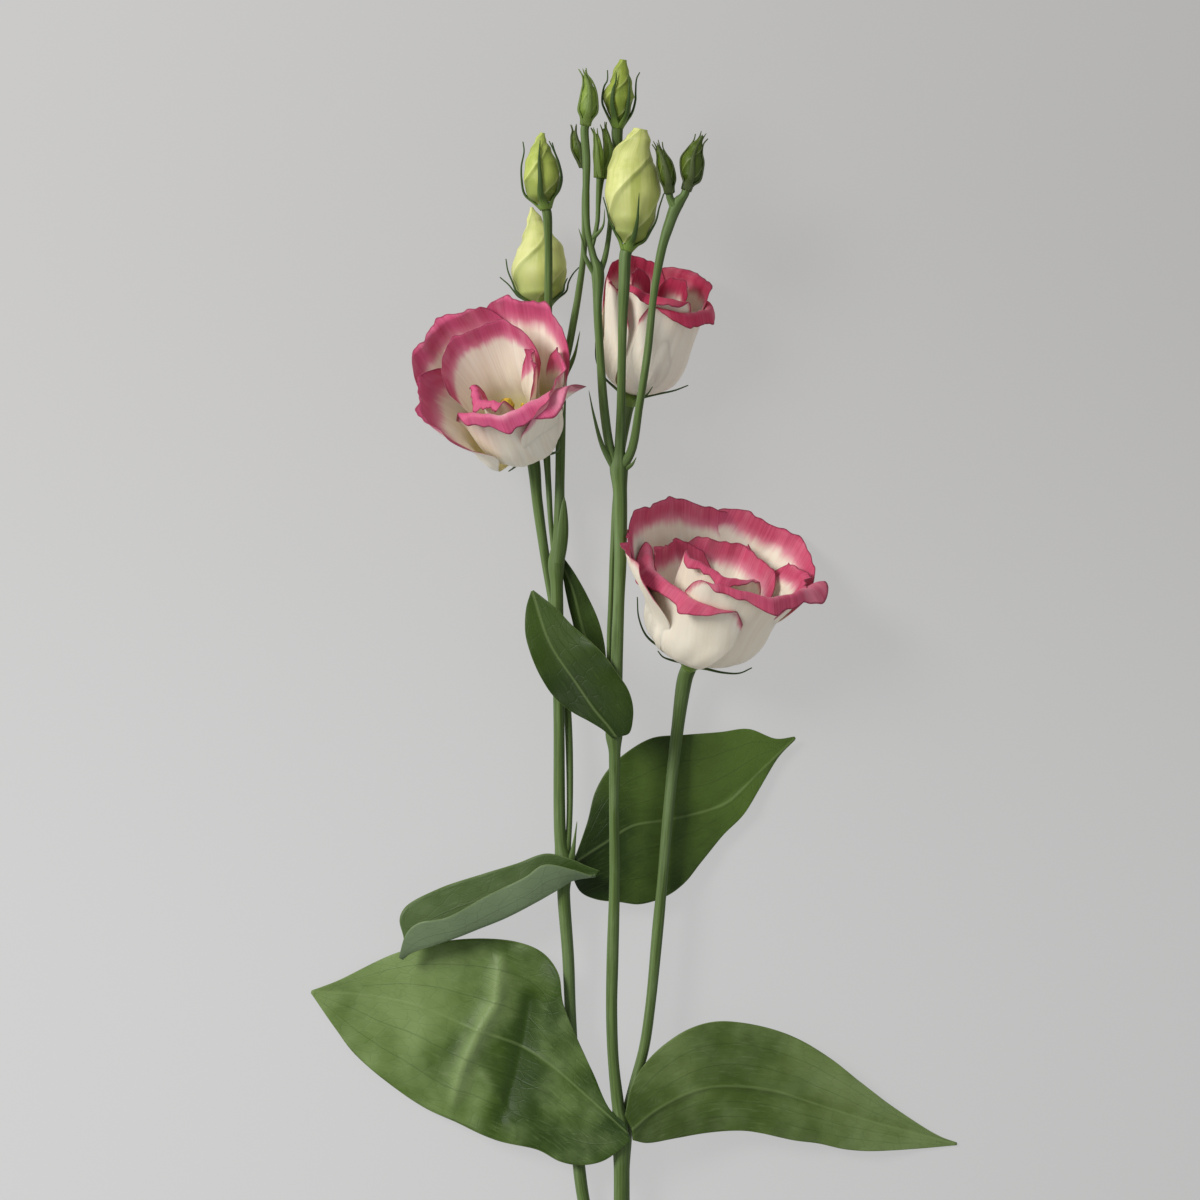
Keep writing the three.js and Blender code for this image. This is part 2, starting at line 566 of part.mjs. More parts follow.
// The petals of a bloom and the small core that they stand on, thicker all over by extra.
function petalSolids(bloom, extra) {
  const bodies = bloom.petals.slice(0, OUTER_PETALS).map(({ body }) => body);
  const radius = CORE_SHARE * Math.min(...bodies) + extra;
  const core = lump(bloomAxes(bloom), [
    [CLEARANCE - extra, 2.2 + extra], [1.6 - extra, radius * 0.64], [0.8 * CORE_HEIGHT, radius],
    [CORE_HEIGHT, radius * 0.9],
  ]);
  const blades = bloom.petals.map((petal, i) => {
    const { across, along } = petal.half > SMALL_PETAL ? PETAL_CELLS : SMALL_PETAL_CELLS;
    const wider = { ...petal, half: petal.half + extra };
    return blade(petalSurface(bloom, wider, 2.1 * i), across, along, PETAL_THICKNESS + 2 * extra);
  });
  return [core, ...blades];
}

function buildPetals(bloom, stemRoom) {
  return mainShell(fuse(petalSolids(bloom, 0)).subtract(stemRoom));
}

// The green cup under a bloom with its thin sepals, which lie along the outer petals.
function buildCalyx(bloom) {
  const axes = bloomAxes(bloom);
  const cup = lump(axes, [[-BLOOM_CUP, 1.6], [-2.8, 3], [-1, 3.6], [0, 2.4]]);
  const sepals = bloom.sepals.map(({ side, reach, off, lift }) => {
    const points = [0.12, 0.4, 0.7, 1].map((share) => {
      const { out, up } = petalSection(bloom.petals[0], reach * share, off + lift * share * share);
      return axes.place(side, out, up - 1.6 * (1 - share)).toArray();
    });
    const root = axes.place(side, 1.6, -1.8).toArray();
    const facing = axes.place(side, 1, 0).sub(axes.base).toArray();
    return strap([root, ...points], BLOOM_SEPAL_WIDTH, SEPAL_THICKNESS, facing);
  });
  const petalRoom = wasm.Manifold.union(petalSolids(bloom, CLEARANCE));
  return mainShell(fuse([cup, ...sepals]).subtract(petalRoom));
}

// Pistil with a two-lobed stigma, and five stamens.
function buildStamens(bloom) {
  const axes = bloomAxes(bloom);
  const foot = CORE_HEIGHT + CLEARANCE;
  const pistil = lump(axes, [
    [foot, 1.8], [foot + 3, 2.5], [foot + 9, 2], [foot + 13, 0.9], [foot + 18, 0.9], [foot + 19, 2.2],
    [foot + 21, 1.6],
  ], 5);
  const stamens = [0, 72, 144, 216, 288].map((turn) => {
    const profile = [
      [1.2, foot + 0.8, 0.5], [4.2, foot + 11, 0.45], [4.5, foot + 13, 1.1], [4.8, foot + 16, 0.7],
    ];
    const points = profile.map(([out, up, radius]) => (
      [...axes.place(turn + 20, out, up).toArray(), radius]));
    return branch(points, 0, 3);
  });
  return fuse([pistil, ...stamens]);
}

// Buds: points [x, y, z, radius] from base to tip, and sepals by side, reach and lift of the tip
const BUDS = {
  bud_d: {
    points: [
      [-30, 179.2, 30.4, 2.6], [-30.8, 182.7, 30.8, 5.4], [-30.8, 187.3, 31.2, 6.3],
      [-31.2, 192.3, 31.6, 5.6], [-31.2, 196.7, 32, 3.6], [-31.2, 199.7, 32.3, 1.9], [-30.6, 202.3, 32.5, 0.8],
    ],
    sepals: [[175, 0.8, 3.4], [265, 0.85, 0.5], [340, 0.85, 0.6], [15, 0.8, 1.4], [95, 0.7, 0.5]],
  },
  bud_e: {
    points: [
      [-31, 145.8, 12, 3.2], [-31.3, 150.6, 12.1, 8.2], [-31.8, 157.3, 12.2, 9.7], [-31.8, 164, 12.3, 8.2],
      [-32.5, 169.3, 12.4, 5.2], [-33.5, 174, 12.4, 2.7], [-34.5, 178.5, 12.2, 0.6],
    ],
    sepals: [[180, 0.3, 3.4], [200, 0.42, 2.6], [0, 0.36, 3.2], [330, 0.25, 1.2], [90, 0.3, 0.3]],
  },
  bud_f: {
    points: [
      [-5.5, 205.8, 38.4, 2.4], [-5.2, 209.3, 39, 4], [-5.3, 214, 39.6, 5.4], [-4.5, 218.3, 40, 3.8],
      [-4.5, 221.7, 40.3, 2.8], [-3.8, 226.1, 40.6, 1.2],
    ],
    sepals: [[188, 0.82, 1.4], [246, 0.8, 0.6], [307, 0.8, 0.8], [8, 0.85, 3.2], [84, 0.7, 0.6]],
  },
  bud_g: {
    points: [
      [-2.2, 164.6, 45.9, 2.6], [-1.2, 168.6, 46.2, 6], [-0.8, 174, 46.4, 8.1], [-0.8, 181.7, 46.6, 9.5],
      [-0.8, 188, 46.8, 8.9], [-0.5, 193.3, 47, 7], [1.2, 199, 47.2, 4.2], [1.9, 202.6, 47.2, 2.4],
    ],
    sepals: [[282, 0.42, 0.7], [340, 0.42, 1.2], [20, 0.42, 1.1], [200, 0.4, 0.5], [90, 0.4, 0.4]],
  },
  bud_h: {
    points: [
      [-16, 206.2, 44.6, 1.7], [-15.5, 209.3, 45, 3.1], [-15.2, 214, 45.2, 2.6], [-15.5, 217.7, 45.3, 1.4],
      [-16.6, 220.7, 45.3, 0.4],
    ],
    sepals: [[190, 0.95, 0.8], [276, 1, 0.4], [352, 0.95, 0.6]],
  },
  bud_i: {
    points: [
      [-17.5, 192.9, 36.4, 1.3], [-18.8, 196.7, 37, 1.9], [-19.8, 200, 37.4, 1.2], [-19.9, 202.7, 37.6, 0.4],
    ],
    sepals: [[190, 1, 0.8], [300, 1, 0.5], [80, 0.9, 0.6]],
  },
  bud_j: {
    points: [
      [17.7, 184.3, 49.1, 1.5], [18.8, 187.3, 49.3, 3.4], [19, 192, 49.5, 3.7], [20.2, 196, 49.6, 2.2],
      [22.4, 200.3, 49.6, 0.4],
    ],
    sepals: [[180, 0.9, 0.5], [270, 1, 0.5], [350, 0.95, 0.8]],
  },
  bud_k: {
    points: [
      [11.2, 183.4, 50.4, 1.5], [10.8, 186.7, 51.4, 2.5], [9.8, 190.7, 51.6, 2.3], [8.6, 194.3, 51.6, 1.2],
      [7.6, 197, 51.6, 0.4],
    ],
    sepals: [[185, 1, 0.5], [270, 0.95, 0.4], [0, 1, 0.9]],
  },
  bud_m: {
    points: [
      [-11.9, 189, 42.6, 1], [-11.8, 194, 43, 1.6], [-12.2, 198.3, 43.3, 1.1], [-12.8, 201.3, 43.5, 0.4],
    ],
    sepals: [[180, 1, 0.5], [245, 0.95, 0.4]],
  },
  bud_n: {
    points: [
      [-10.2, 189, 39.7, 1], [-8.9, 194.6, 39, 1.6], [-9.3, 199.3, 39, 1.1], [-10.2, 203.3, 39, 0.4],
    ],
    sepals: [[0, 1, 0.5], [310, 0.95, 0.4]],
  },
};
const BUD_CELLS = { around: 12, along: 8 };
const SMALL_BUD_CELLS = { around: 6, along: 4 };
const FOLD_DEPTH = 0.1;          // depth of a fold as a share of the bud's radius
const BUD_FOLDS = 3;
const BUD_TWIST = 0.75;

// A bud's outside: the petals are rolled round each other, so each fold is a low spiral step.
function budPlace(bud, foldDepth) {
  const path = pathThrough(bud.points);
  return (side, v, offset) => {
    const along = path.curve.getTangent(v);
    const right = new THREE.Vector3(1, 0, 0).addScaledVector(along, -along.x).normalize();
    const back = along.clone().cross(right);
    const fold = THREE.MathUtils.euclideanModulo(BUD_FOLDS * (BUD_TWIST * v - side / 360), 1);
    const radius = path.radius(v) * (1 - foldDepth * fold * Math.sin(Math.PI * v)) + offset;
    return path.place(v)
      .addScaledVector(right, radius * Math.cos(radians(side)))
      .addScaledVector(back, radius * Math.sin(radians(side)));
  };
}

function buildBud(bud, foldDepth, { around, along }, extra = 0) {
  const place = budPlace(bud, foldDepth);
  const rings = [];
  for (let j = 0; j <= along; j += 1) {
    const ring = [];
    for (let k = 0; k < around; k += 1) ring.push(place((360 * k) / around, j / along, extra));
    rings.push(ring);
  }
  const back = rings[0][0].clone().sub(rings[1][0]).normalize().multiplyScalar(extra);
  rings[0].forEach((point) => point.add(back));
  return tubeOfRings(rings);
}

// Thin sepals from the middle of the cup, which lie along the bud at the given shares of their reach.
function budSepals(bud, offset, width, shares) {
  const place = budPlace(bud, 0);
  const path = pathThrough(bud.points);
  return bud.sepals.map(([side, reach, lift]) => {
    const below = (point, distance) => (
      point.addScaledVector(path.curve.getTangent(0), -distance).toArray());
    const root = below(path.place(0), 1.3);
    const bend = below(place(side, 0, 0.7), 1.1);
    const points = shares.map((share) => (
      place(side, reach * share, offset + lift * share * share).toArray()));
    const facing = place(side, 0.3, 1).sub(path.place(0.3)).toArray();
    return strap([root, bend, ...points], width, SEPAL_THICKNESS, facing, shares.length + 1);
  });
}

// The green cup under a bud, up to the given distance below the bud's base.
function budCup(bud, gap) {
  const path = pathThrough(bud.points);
  const along = path.curve.getTangent(0);
  const foot = path.place(0);
  const radius = bud.points[0][3];
  const place = (back, wide) => [...foot.clone().addScaledVector(along, -back).toArray(), wide];
  return branch([place(BUD_CUP, radius * 0.6), place(1.3, radius * 1.05), place(gap, radius * 0.8)]);
}

// The end of a stalk, just under the green cup of its bloom or bud and straight for a few millimetres.
function stalkEnd(name, radius) {
  const bloom = BLOOMS[name];
  const path = bloom ? null : pathThrough(BUDS[name].points);
  const foot = bloom ? vector(bloom.base) : path.place(0);
  const along = bloom ? bloomAxes(bloom).axis : path.curve.getTangent(0);
  const cup = (bloom ? BLOOM_CUP : BUD_CUP) + CLEARANCE;
  const straight = bloom ? 3.5 : 1.6;
  return [cup + straight, cup].map((back) => [
    ...foot.clone().addScaledVector(along, -back).toArray(), radius,
  ]);
}

function stemSolids(extra) {
  return STEMS.map(({ points, carries, radius }) => (
    branch([...points, ...stalkEnd(carries, radius)], extra)));
}

function buildStem() {
  const bracts = BRACTS.map(([points, width, facing]) => (
    strap(points, width, SEPAL_THICKNESS, facing, 3)));
  return fuse([...stemSolids(0), ...bracts]);
}

function buildBudCalyx(bud) {
  const budRoom = buildBud(bud, 0, BUD_CELLS, CLEARANCE);
  const sepals = budSepals(bud, BUD_SEPAL_OFF, BUD_SEPAL_WIDTH, [0.05, 0.25, 0.5, 0.75, 1]);
  return fuse([budCup(bud, CLEARANCE).subtract(budRoom), ...sepals]);
}

// A small closed bud, grown in one with its cup and sepals.
function buildSmallBud(bud) {
  const sepals = budSepals(bud, SMALL_SEPAL_OFF, SMALL_SEPAL_WIDTH, [0.14, 0.55, 1]);
  return fuse([budCup(bud, -1), buildBud(bud, 0, SMALL_BUD_CELLS), ...sepals]);
}

const OPENING_BUDS = ['bud_d', 'bud_e', 'bud_f', 'bud_g'];

// The object
function meshOf(name, solid, finish) {
  const { vertProperties, triVerts } = solid.getMesh();
  const geometry = new THREE.BufferGeometry();
  geometry.setAttribute('position', new THREE.BufferAttribute(vertProperties, 3));
  geometry.setIndex(new THREE.BufferAttribute(triVerts, 1));
  geometry.computeVertexNormals();
  const material = new THREE.MeshStandardMaterial({ metalness: 0, ...FINISH[finish] });
  const mesh = new THREE.Mesh(geometry, material);
  mesh.name = name;
  return mesh;
}

// What lies below the surface is cut off flat, where a piece rests on it.
const slab = new THREE.BoxGeometry(SURFACE_SIZE, SURFACE_SIZE, 40).translate(0, 0, -20);
const surface = solidOfGeometry(slab);
const resting = (solid) => mainShell(solid.subtract(surface));

const spray = new THREE.Group();
const stemRoom = wasm.Manifold.union(stemSolids(CLEARANCE));
spray.add(meshOf('stem', resting(buildStem()), 'stem'));
Object.entries(LEAVES).forEach(([name, leaf]) => {
  spray.add(meshOf(name, resting(buildLeaf(leaf, stemRoom)), 'leaf'));
});
Object.entries(BLOOMS).forEach(([name, bloom]) => {
  spray.add(meshOf(name, resting(buildPetals(bloom, stemRoom)), 'petal'));
  spray.add(meshOf(`${name}_calyx`, buildCalyx(bloom), 'calyx'));
  spray.add(meshOf(`${name}_stamens`, buildStamens(bloom), 'stamens'));
});
Object.entries(BUDS).forEach(([name, bud]) => {
  if (OPENING_BUDS.includes(name)) {
    spray.add(meshOf(name, buildBud(bud, FOLD_DEPTH, BUD_CELLS), 'bud'));
    spray.add(meshOf(`${name}_calyx`, buildBudCalyx(bud), 'calyx'));
  } else {
    spray.add(meshOf(name, buildSmallBud(bud), 'greenBud'));
  }
});

export default spray;
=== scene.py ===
"""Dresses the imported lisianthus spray: fine petals, leaves, buds, sepals and stems with their colours,
on a pale floor under soft light, seen from straight above.

Lengths of the spray are millimetres, and a mesh is turned into metres when it is made. The camera, the
floor and the lights are placed in metres.
"""

import bpy
import numpy as np
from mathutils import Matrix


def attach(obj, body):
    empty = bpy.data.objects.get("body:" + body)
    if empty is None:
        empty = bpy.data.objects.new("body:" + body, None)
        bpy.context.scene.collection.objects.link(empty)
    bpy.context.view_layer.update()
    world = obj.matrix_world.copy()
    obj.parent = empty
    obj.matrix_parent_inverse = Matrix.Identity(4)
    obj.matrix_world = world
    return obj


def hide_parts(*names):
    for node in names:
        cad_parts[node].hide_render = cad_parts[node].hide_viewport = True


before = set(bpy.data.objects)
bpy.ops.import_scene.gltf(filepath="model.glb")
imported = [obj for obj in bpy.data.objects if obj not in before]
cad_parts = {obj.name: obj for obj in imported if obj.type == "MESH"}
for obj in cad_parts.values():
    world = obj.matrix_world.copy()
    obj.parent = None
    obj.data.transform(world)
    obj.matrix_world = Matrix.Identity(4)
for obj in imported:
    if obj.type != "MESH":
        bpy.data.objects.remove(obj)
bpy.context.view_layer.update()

METRES = 0.001

# Driving dimensions of the solids, which the finer pieces keep
PETAL_THICKNESS = 0.7
LEAF_THICKNESS = 0.8
SEPAL_THICKNESS = 0.9
BLOOM_CUP = 3.8
BUD_CUP = 2.0
GAP = 0.3
ROOT_RADIUS = 2.4
ROOT_HEIGHT = 0.8
CORE_HEIGHT = 5.0
CORE_SHARE = 0.5
PINWHEEL = 0.9
BUD_FOLDS = 3
BUD_TWIST = 0.75
OUTER_PETALS = 5

# Driving dimensions of the finer pieces: how much thinner they are than the solids, the length of a
# petal over its height, the radius of the bend at its lip, how many degrees the lip turns for each
# millimetre of its length and at most, how far out and up a petal moves for each millimetre that it
# stands off, the radius that rounds the corners of its margin, and the shift between stems' streaks
THINNER = 0.15
PETAL_LENGTH = 1.42
LIP_BEND = 1.2
LIP_TURN = 24
LIP_MOST = 150
OFF_OUT = 0.94
OFF_UP = -0.34
MARGIN_CORNER = 1.5
STREAK_SHIFT = 37.0

# Sepals and bracts: places of a bud sepal's points along the bud, how far below the bud it starts, its
# width, how far it stands off, and how far it runs on past its end as a hair. BACK_SEPALS stand behind
# every closed bud. A bract wider than LEAFY_BRACT has the shape of a leaf.
SEPAL_SHARES = (0.04, 0.2, 0.4, 0.6, 0.8, 1)
SEPAL_ROOT = 2.2
BUD_SEPALS = {"width": 3.2, "off": 0.45, "hair": 0}
SMALL_SEPALS = {"width": 3.2, "off": 0.1, "hair": 2.2}
BACK_SEPALS = [(60, 0.95, 0.4), (130, 0.95, 0.4)]
BLOOM_SEPAL_WIDTH = 2.6
LEAFY_BRACT = 4

# Stems: points (x, y, z, radius) from the lower end up, the bloom or bud that the stem carries, and the
# radius of its stalk there
STEMS = [
    ([
        (-2.2, -226.7, 2.9, 3.1), (-4.2, -196.7, 4.6, 3.0), (-4.2, -170, 7.5, 2.75),
        (-4.2, -146.3, 10.5, 2.65), (-4.3, -130.7, 13, 3.5), (-5.4, -123, 13.9, 2.1),
        (-7, -108, 15.5, 1.85), (-7.6, -91, 17.2, 1.9), (-7.3, -73.3, 18.8, 2.0),
        (-6.6, -46, 20.8, 1.8), (-6.8, -22, 22.6, 1.65), (-6.6, -5, 24, 1.95),
        (-6.8, 2.3, 24.5, 2.9), (-6.2, 12, 25.2, 2.05), (-5.8, 29, 26.4, 2.0),
        (-5.2, 46.7, 27.6, 1.9), (-4.7, 61, 28.4, 2.1), (-4.8, 82, 29.8, 2.35),
        (-5.2, 91, 30.3, 3.1), (-4.9, 97, 32, 1.8), (-4.5, 112, 36, 1.45), (-4.2, 129, 40, 1.4),
        (-4, 139.3, 42, 1.55), (-3.5, 151, 44, 1.9),
    ], "bud_g", 2.0),
    ([
        (-4.2, -199, 4.6, 2.2), (-9, -180, 5, 2.1), (-15.5, -162, 5.8, 2.05),
        (-18.3, -146.3, 6, 2.1), (-20, -120, 6.3, 2.0), (-21.5, -91, 7.5, 1.9),
        (-22.2, -73.3, 9, 2.0), (-23.7, -52, 11.3, 2.15), (-23.7, -42.7, 12, 3.1),
        (-24.8, -34, 11.9, 2.0), (-25.3, 8, 10.5, 1.85), (-26, 50, 9.3, 2.1), (-26.2, 59, 9, 2.8),
        (-25.4, 67, 8.8, 2.0), (-25, 86.7, 8, 1.6), (-24.7, 105, 7.3, 1.65), (-24.5, 122.7, 7, 2.2),
        (-22.6, 129, 8, 1.25), (-20.2, 141, 14, 1.25), (-18.7, 149.3, 20, 1.15),
        (-16.8, 164, 28.5, 1.0), (-16.7, 180, 34, 0.9),
    ], "bud_i", 0.9),
    ([
        (-23.3, -42, 12, 1.6), (-21.9, -30, 11, 1.0), (-22.1, 4, 8.3, 1.25), (-24.5, 30, 5.2, 1.45),
        (-27.5, 46.7, 4.8, 1.5), (-30.4, 64, 4.6, 1.6), (-32.6, 80, 4.6, 1.8),
    ], "bloom_1", 2.2),
    ([
        (-26.3, 59, 9, 1.2), (-27.7, 68.7, 8.2, 0.8), (-28.8, 85, 7.2, 1.0), (-29.6, 100, 7.2, 1.3),
        (-29.4, 120, 10, 1.35), (-28.8, 147, 22, 1.35), (-28.7, 165, 27, 1.3),
    ], "bud_d", 1.6),
    ([(-24.6, 122, 7, 1.5), (-26.6, 132, 8.6, 1.2)], "bud_e", 1.8),
    ([
        (-6.8, 2, 24, 1.6), (-7.9, 13.3, 22.4, 0.95), (-8.5, 30, 22.3, 0.8), (-7.9, 46.7, 22.3, 0.85),
        (-7.3, 63, 21, 0.9), (-6.2, 80, 16.5, 1.1), (-4.6, 95, 9.6, 1.3),
    ], "bloom_2", 1.9),
    ([
        (-3.8, -131, 12.6, 2.0), (0, -116, 11.6, 1.75), (3.3, -103.7, 11.6, 1.75),
        (5.5, -88.7, 11.8, 1.7), (8, -62.7, 11.8, 1.9), (9.4, -48, 11.6, 1.75), (11.7, -22, 11, 1.85),
        (14.3, 1.3, 8.8, 2.1),
    ], "bloom_3", 2.6),
    ([
        (-5.3, 90, 30.3, 2.0), (-7.8, 96, 31, 1.5), (-9.9, 108.3, 33, 1.55), (-11.5, 129, 36, 1.35),
        (-12.3, 144, 38.4, 1.45), (-12.3, 155.7, 40, 2.2), (-13.8, 161, 40.6, 1.2),
        (-15.6, 169.7, 41.6, 1.0), (-16.1, 181, 42.6, 1.15), (-16, 193, 43.6, 1.35),
    ], "bud_h", 1.4),
    ([
        (-12.2, 155, 40, 1.6), (-10.4, 158.6, 39, 1.0), (-8.8, 166, 36.6, 0.85),
        (-7.8, 176, 34.2, 0.85), (-6.8, 187, 33.8, 1.2), (-5.7, 196, 35.6, 1.6),
    ], "bud_f", 1.9),
    ([(-14.4, 163.5, 41, 0.9), (-12.4, 171.7, 41, 0.75), (-12.1, 180, 41.2, 0.8)], "bud_m", 0.8),
    ([(-12.3, 175, 41, 0.7), (-11.6, 181, 40.8, 0.7)], "bud_n", 0.8),
    ([
        (-4.8, 90.5, 30.3, 2.0), (-1.2, 96, 33, 1.5), (1.7, 112, 38, 1.3), (4.3, 129, 42.6, 1.3),
        (6.3, 147.7, 46.4, 1.2), (9, 163, 48, 1.5), (11.4, 171, 48.3, 1.8), (14, 177.6, 48.5, 2.1),
    ], "bud_j", 1.4),
    ([(13.6, 176.6, 48.5, 1.9)], "bud_k", 1.2),
]

# Small pointed leaves at the nodes: points from root to tip, width, direction that they face
BRACTS = [
    ([(-21.2, -41, 13.4), (-20.2, -35, 14.6), (-19.2, -27.5, 15)], 2.6, (0, 0, 1)),
    ([(-25.4, 57, 10.6), (-24, 69, 13.2), (-23.5, 81.3, 13.6)], 4.6, (0.4, 0, 1)),
    ([(-23.6, 122.5, 8.4), (-20.4, 128, 11.2), (-18.2, 137, 11.6)], 2.8, (0, 0, 1)),
    ([(-6.6, 90.5, 31), (-10.7, 98, 33.4), (-13.6, 108.3, 36.4), (-15.2, 116.3, 37)], 2.6, (0, 0, 1)),
    ([(-3.4, 90.4, 31.4), (-0.9, 91.8, 32.8), (0.6, 94.2, 34)], 2.4, (0, 0, 1)),
    ([(-13, 154.6, 40.6), (-16.4, 160.5, 42.4), (-17.4, 166, 43), (-18.6, 170, 43)], 2.2, (0, 0, 1)),
    ([(-14, 166.6, 41.4), (-10.6, 170.5, 42.6), (-9.9, 176.5, 42.6)], 1.8, (0, 0, 1)),
]

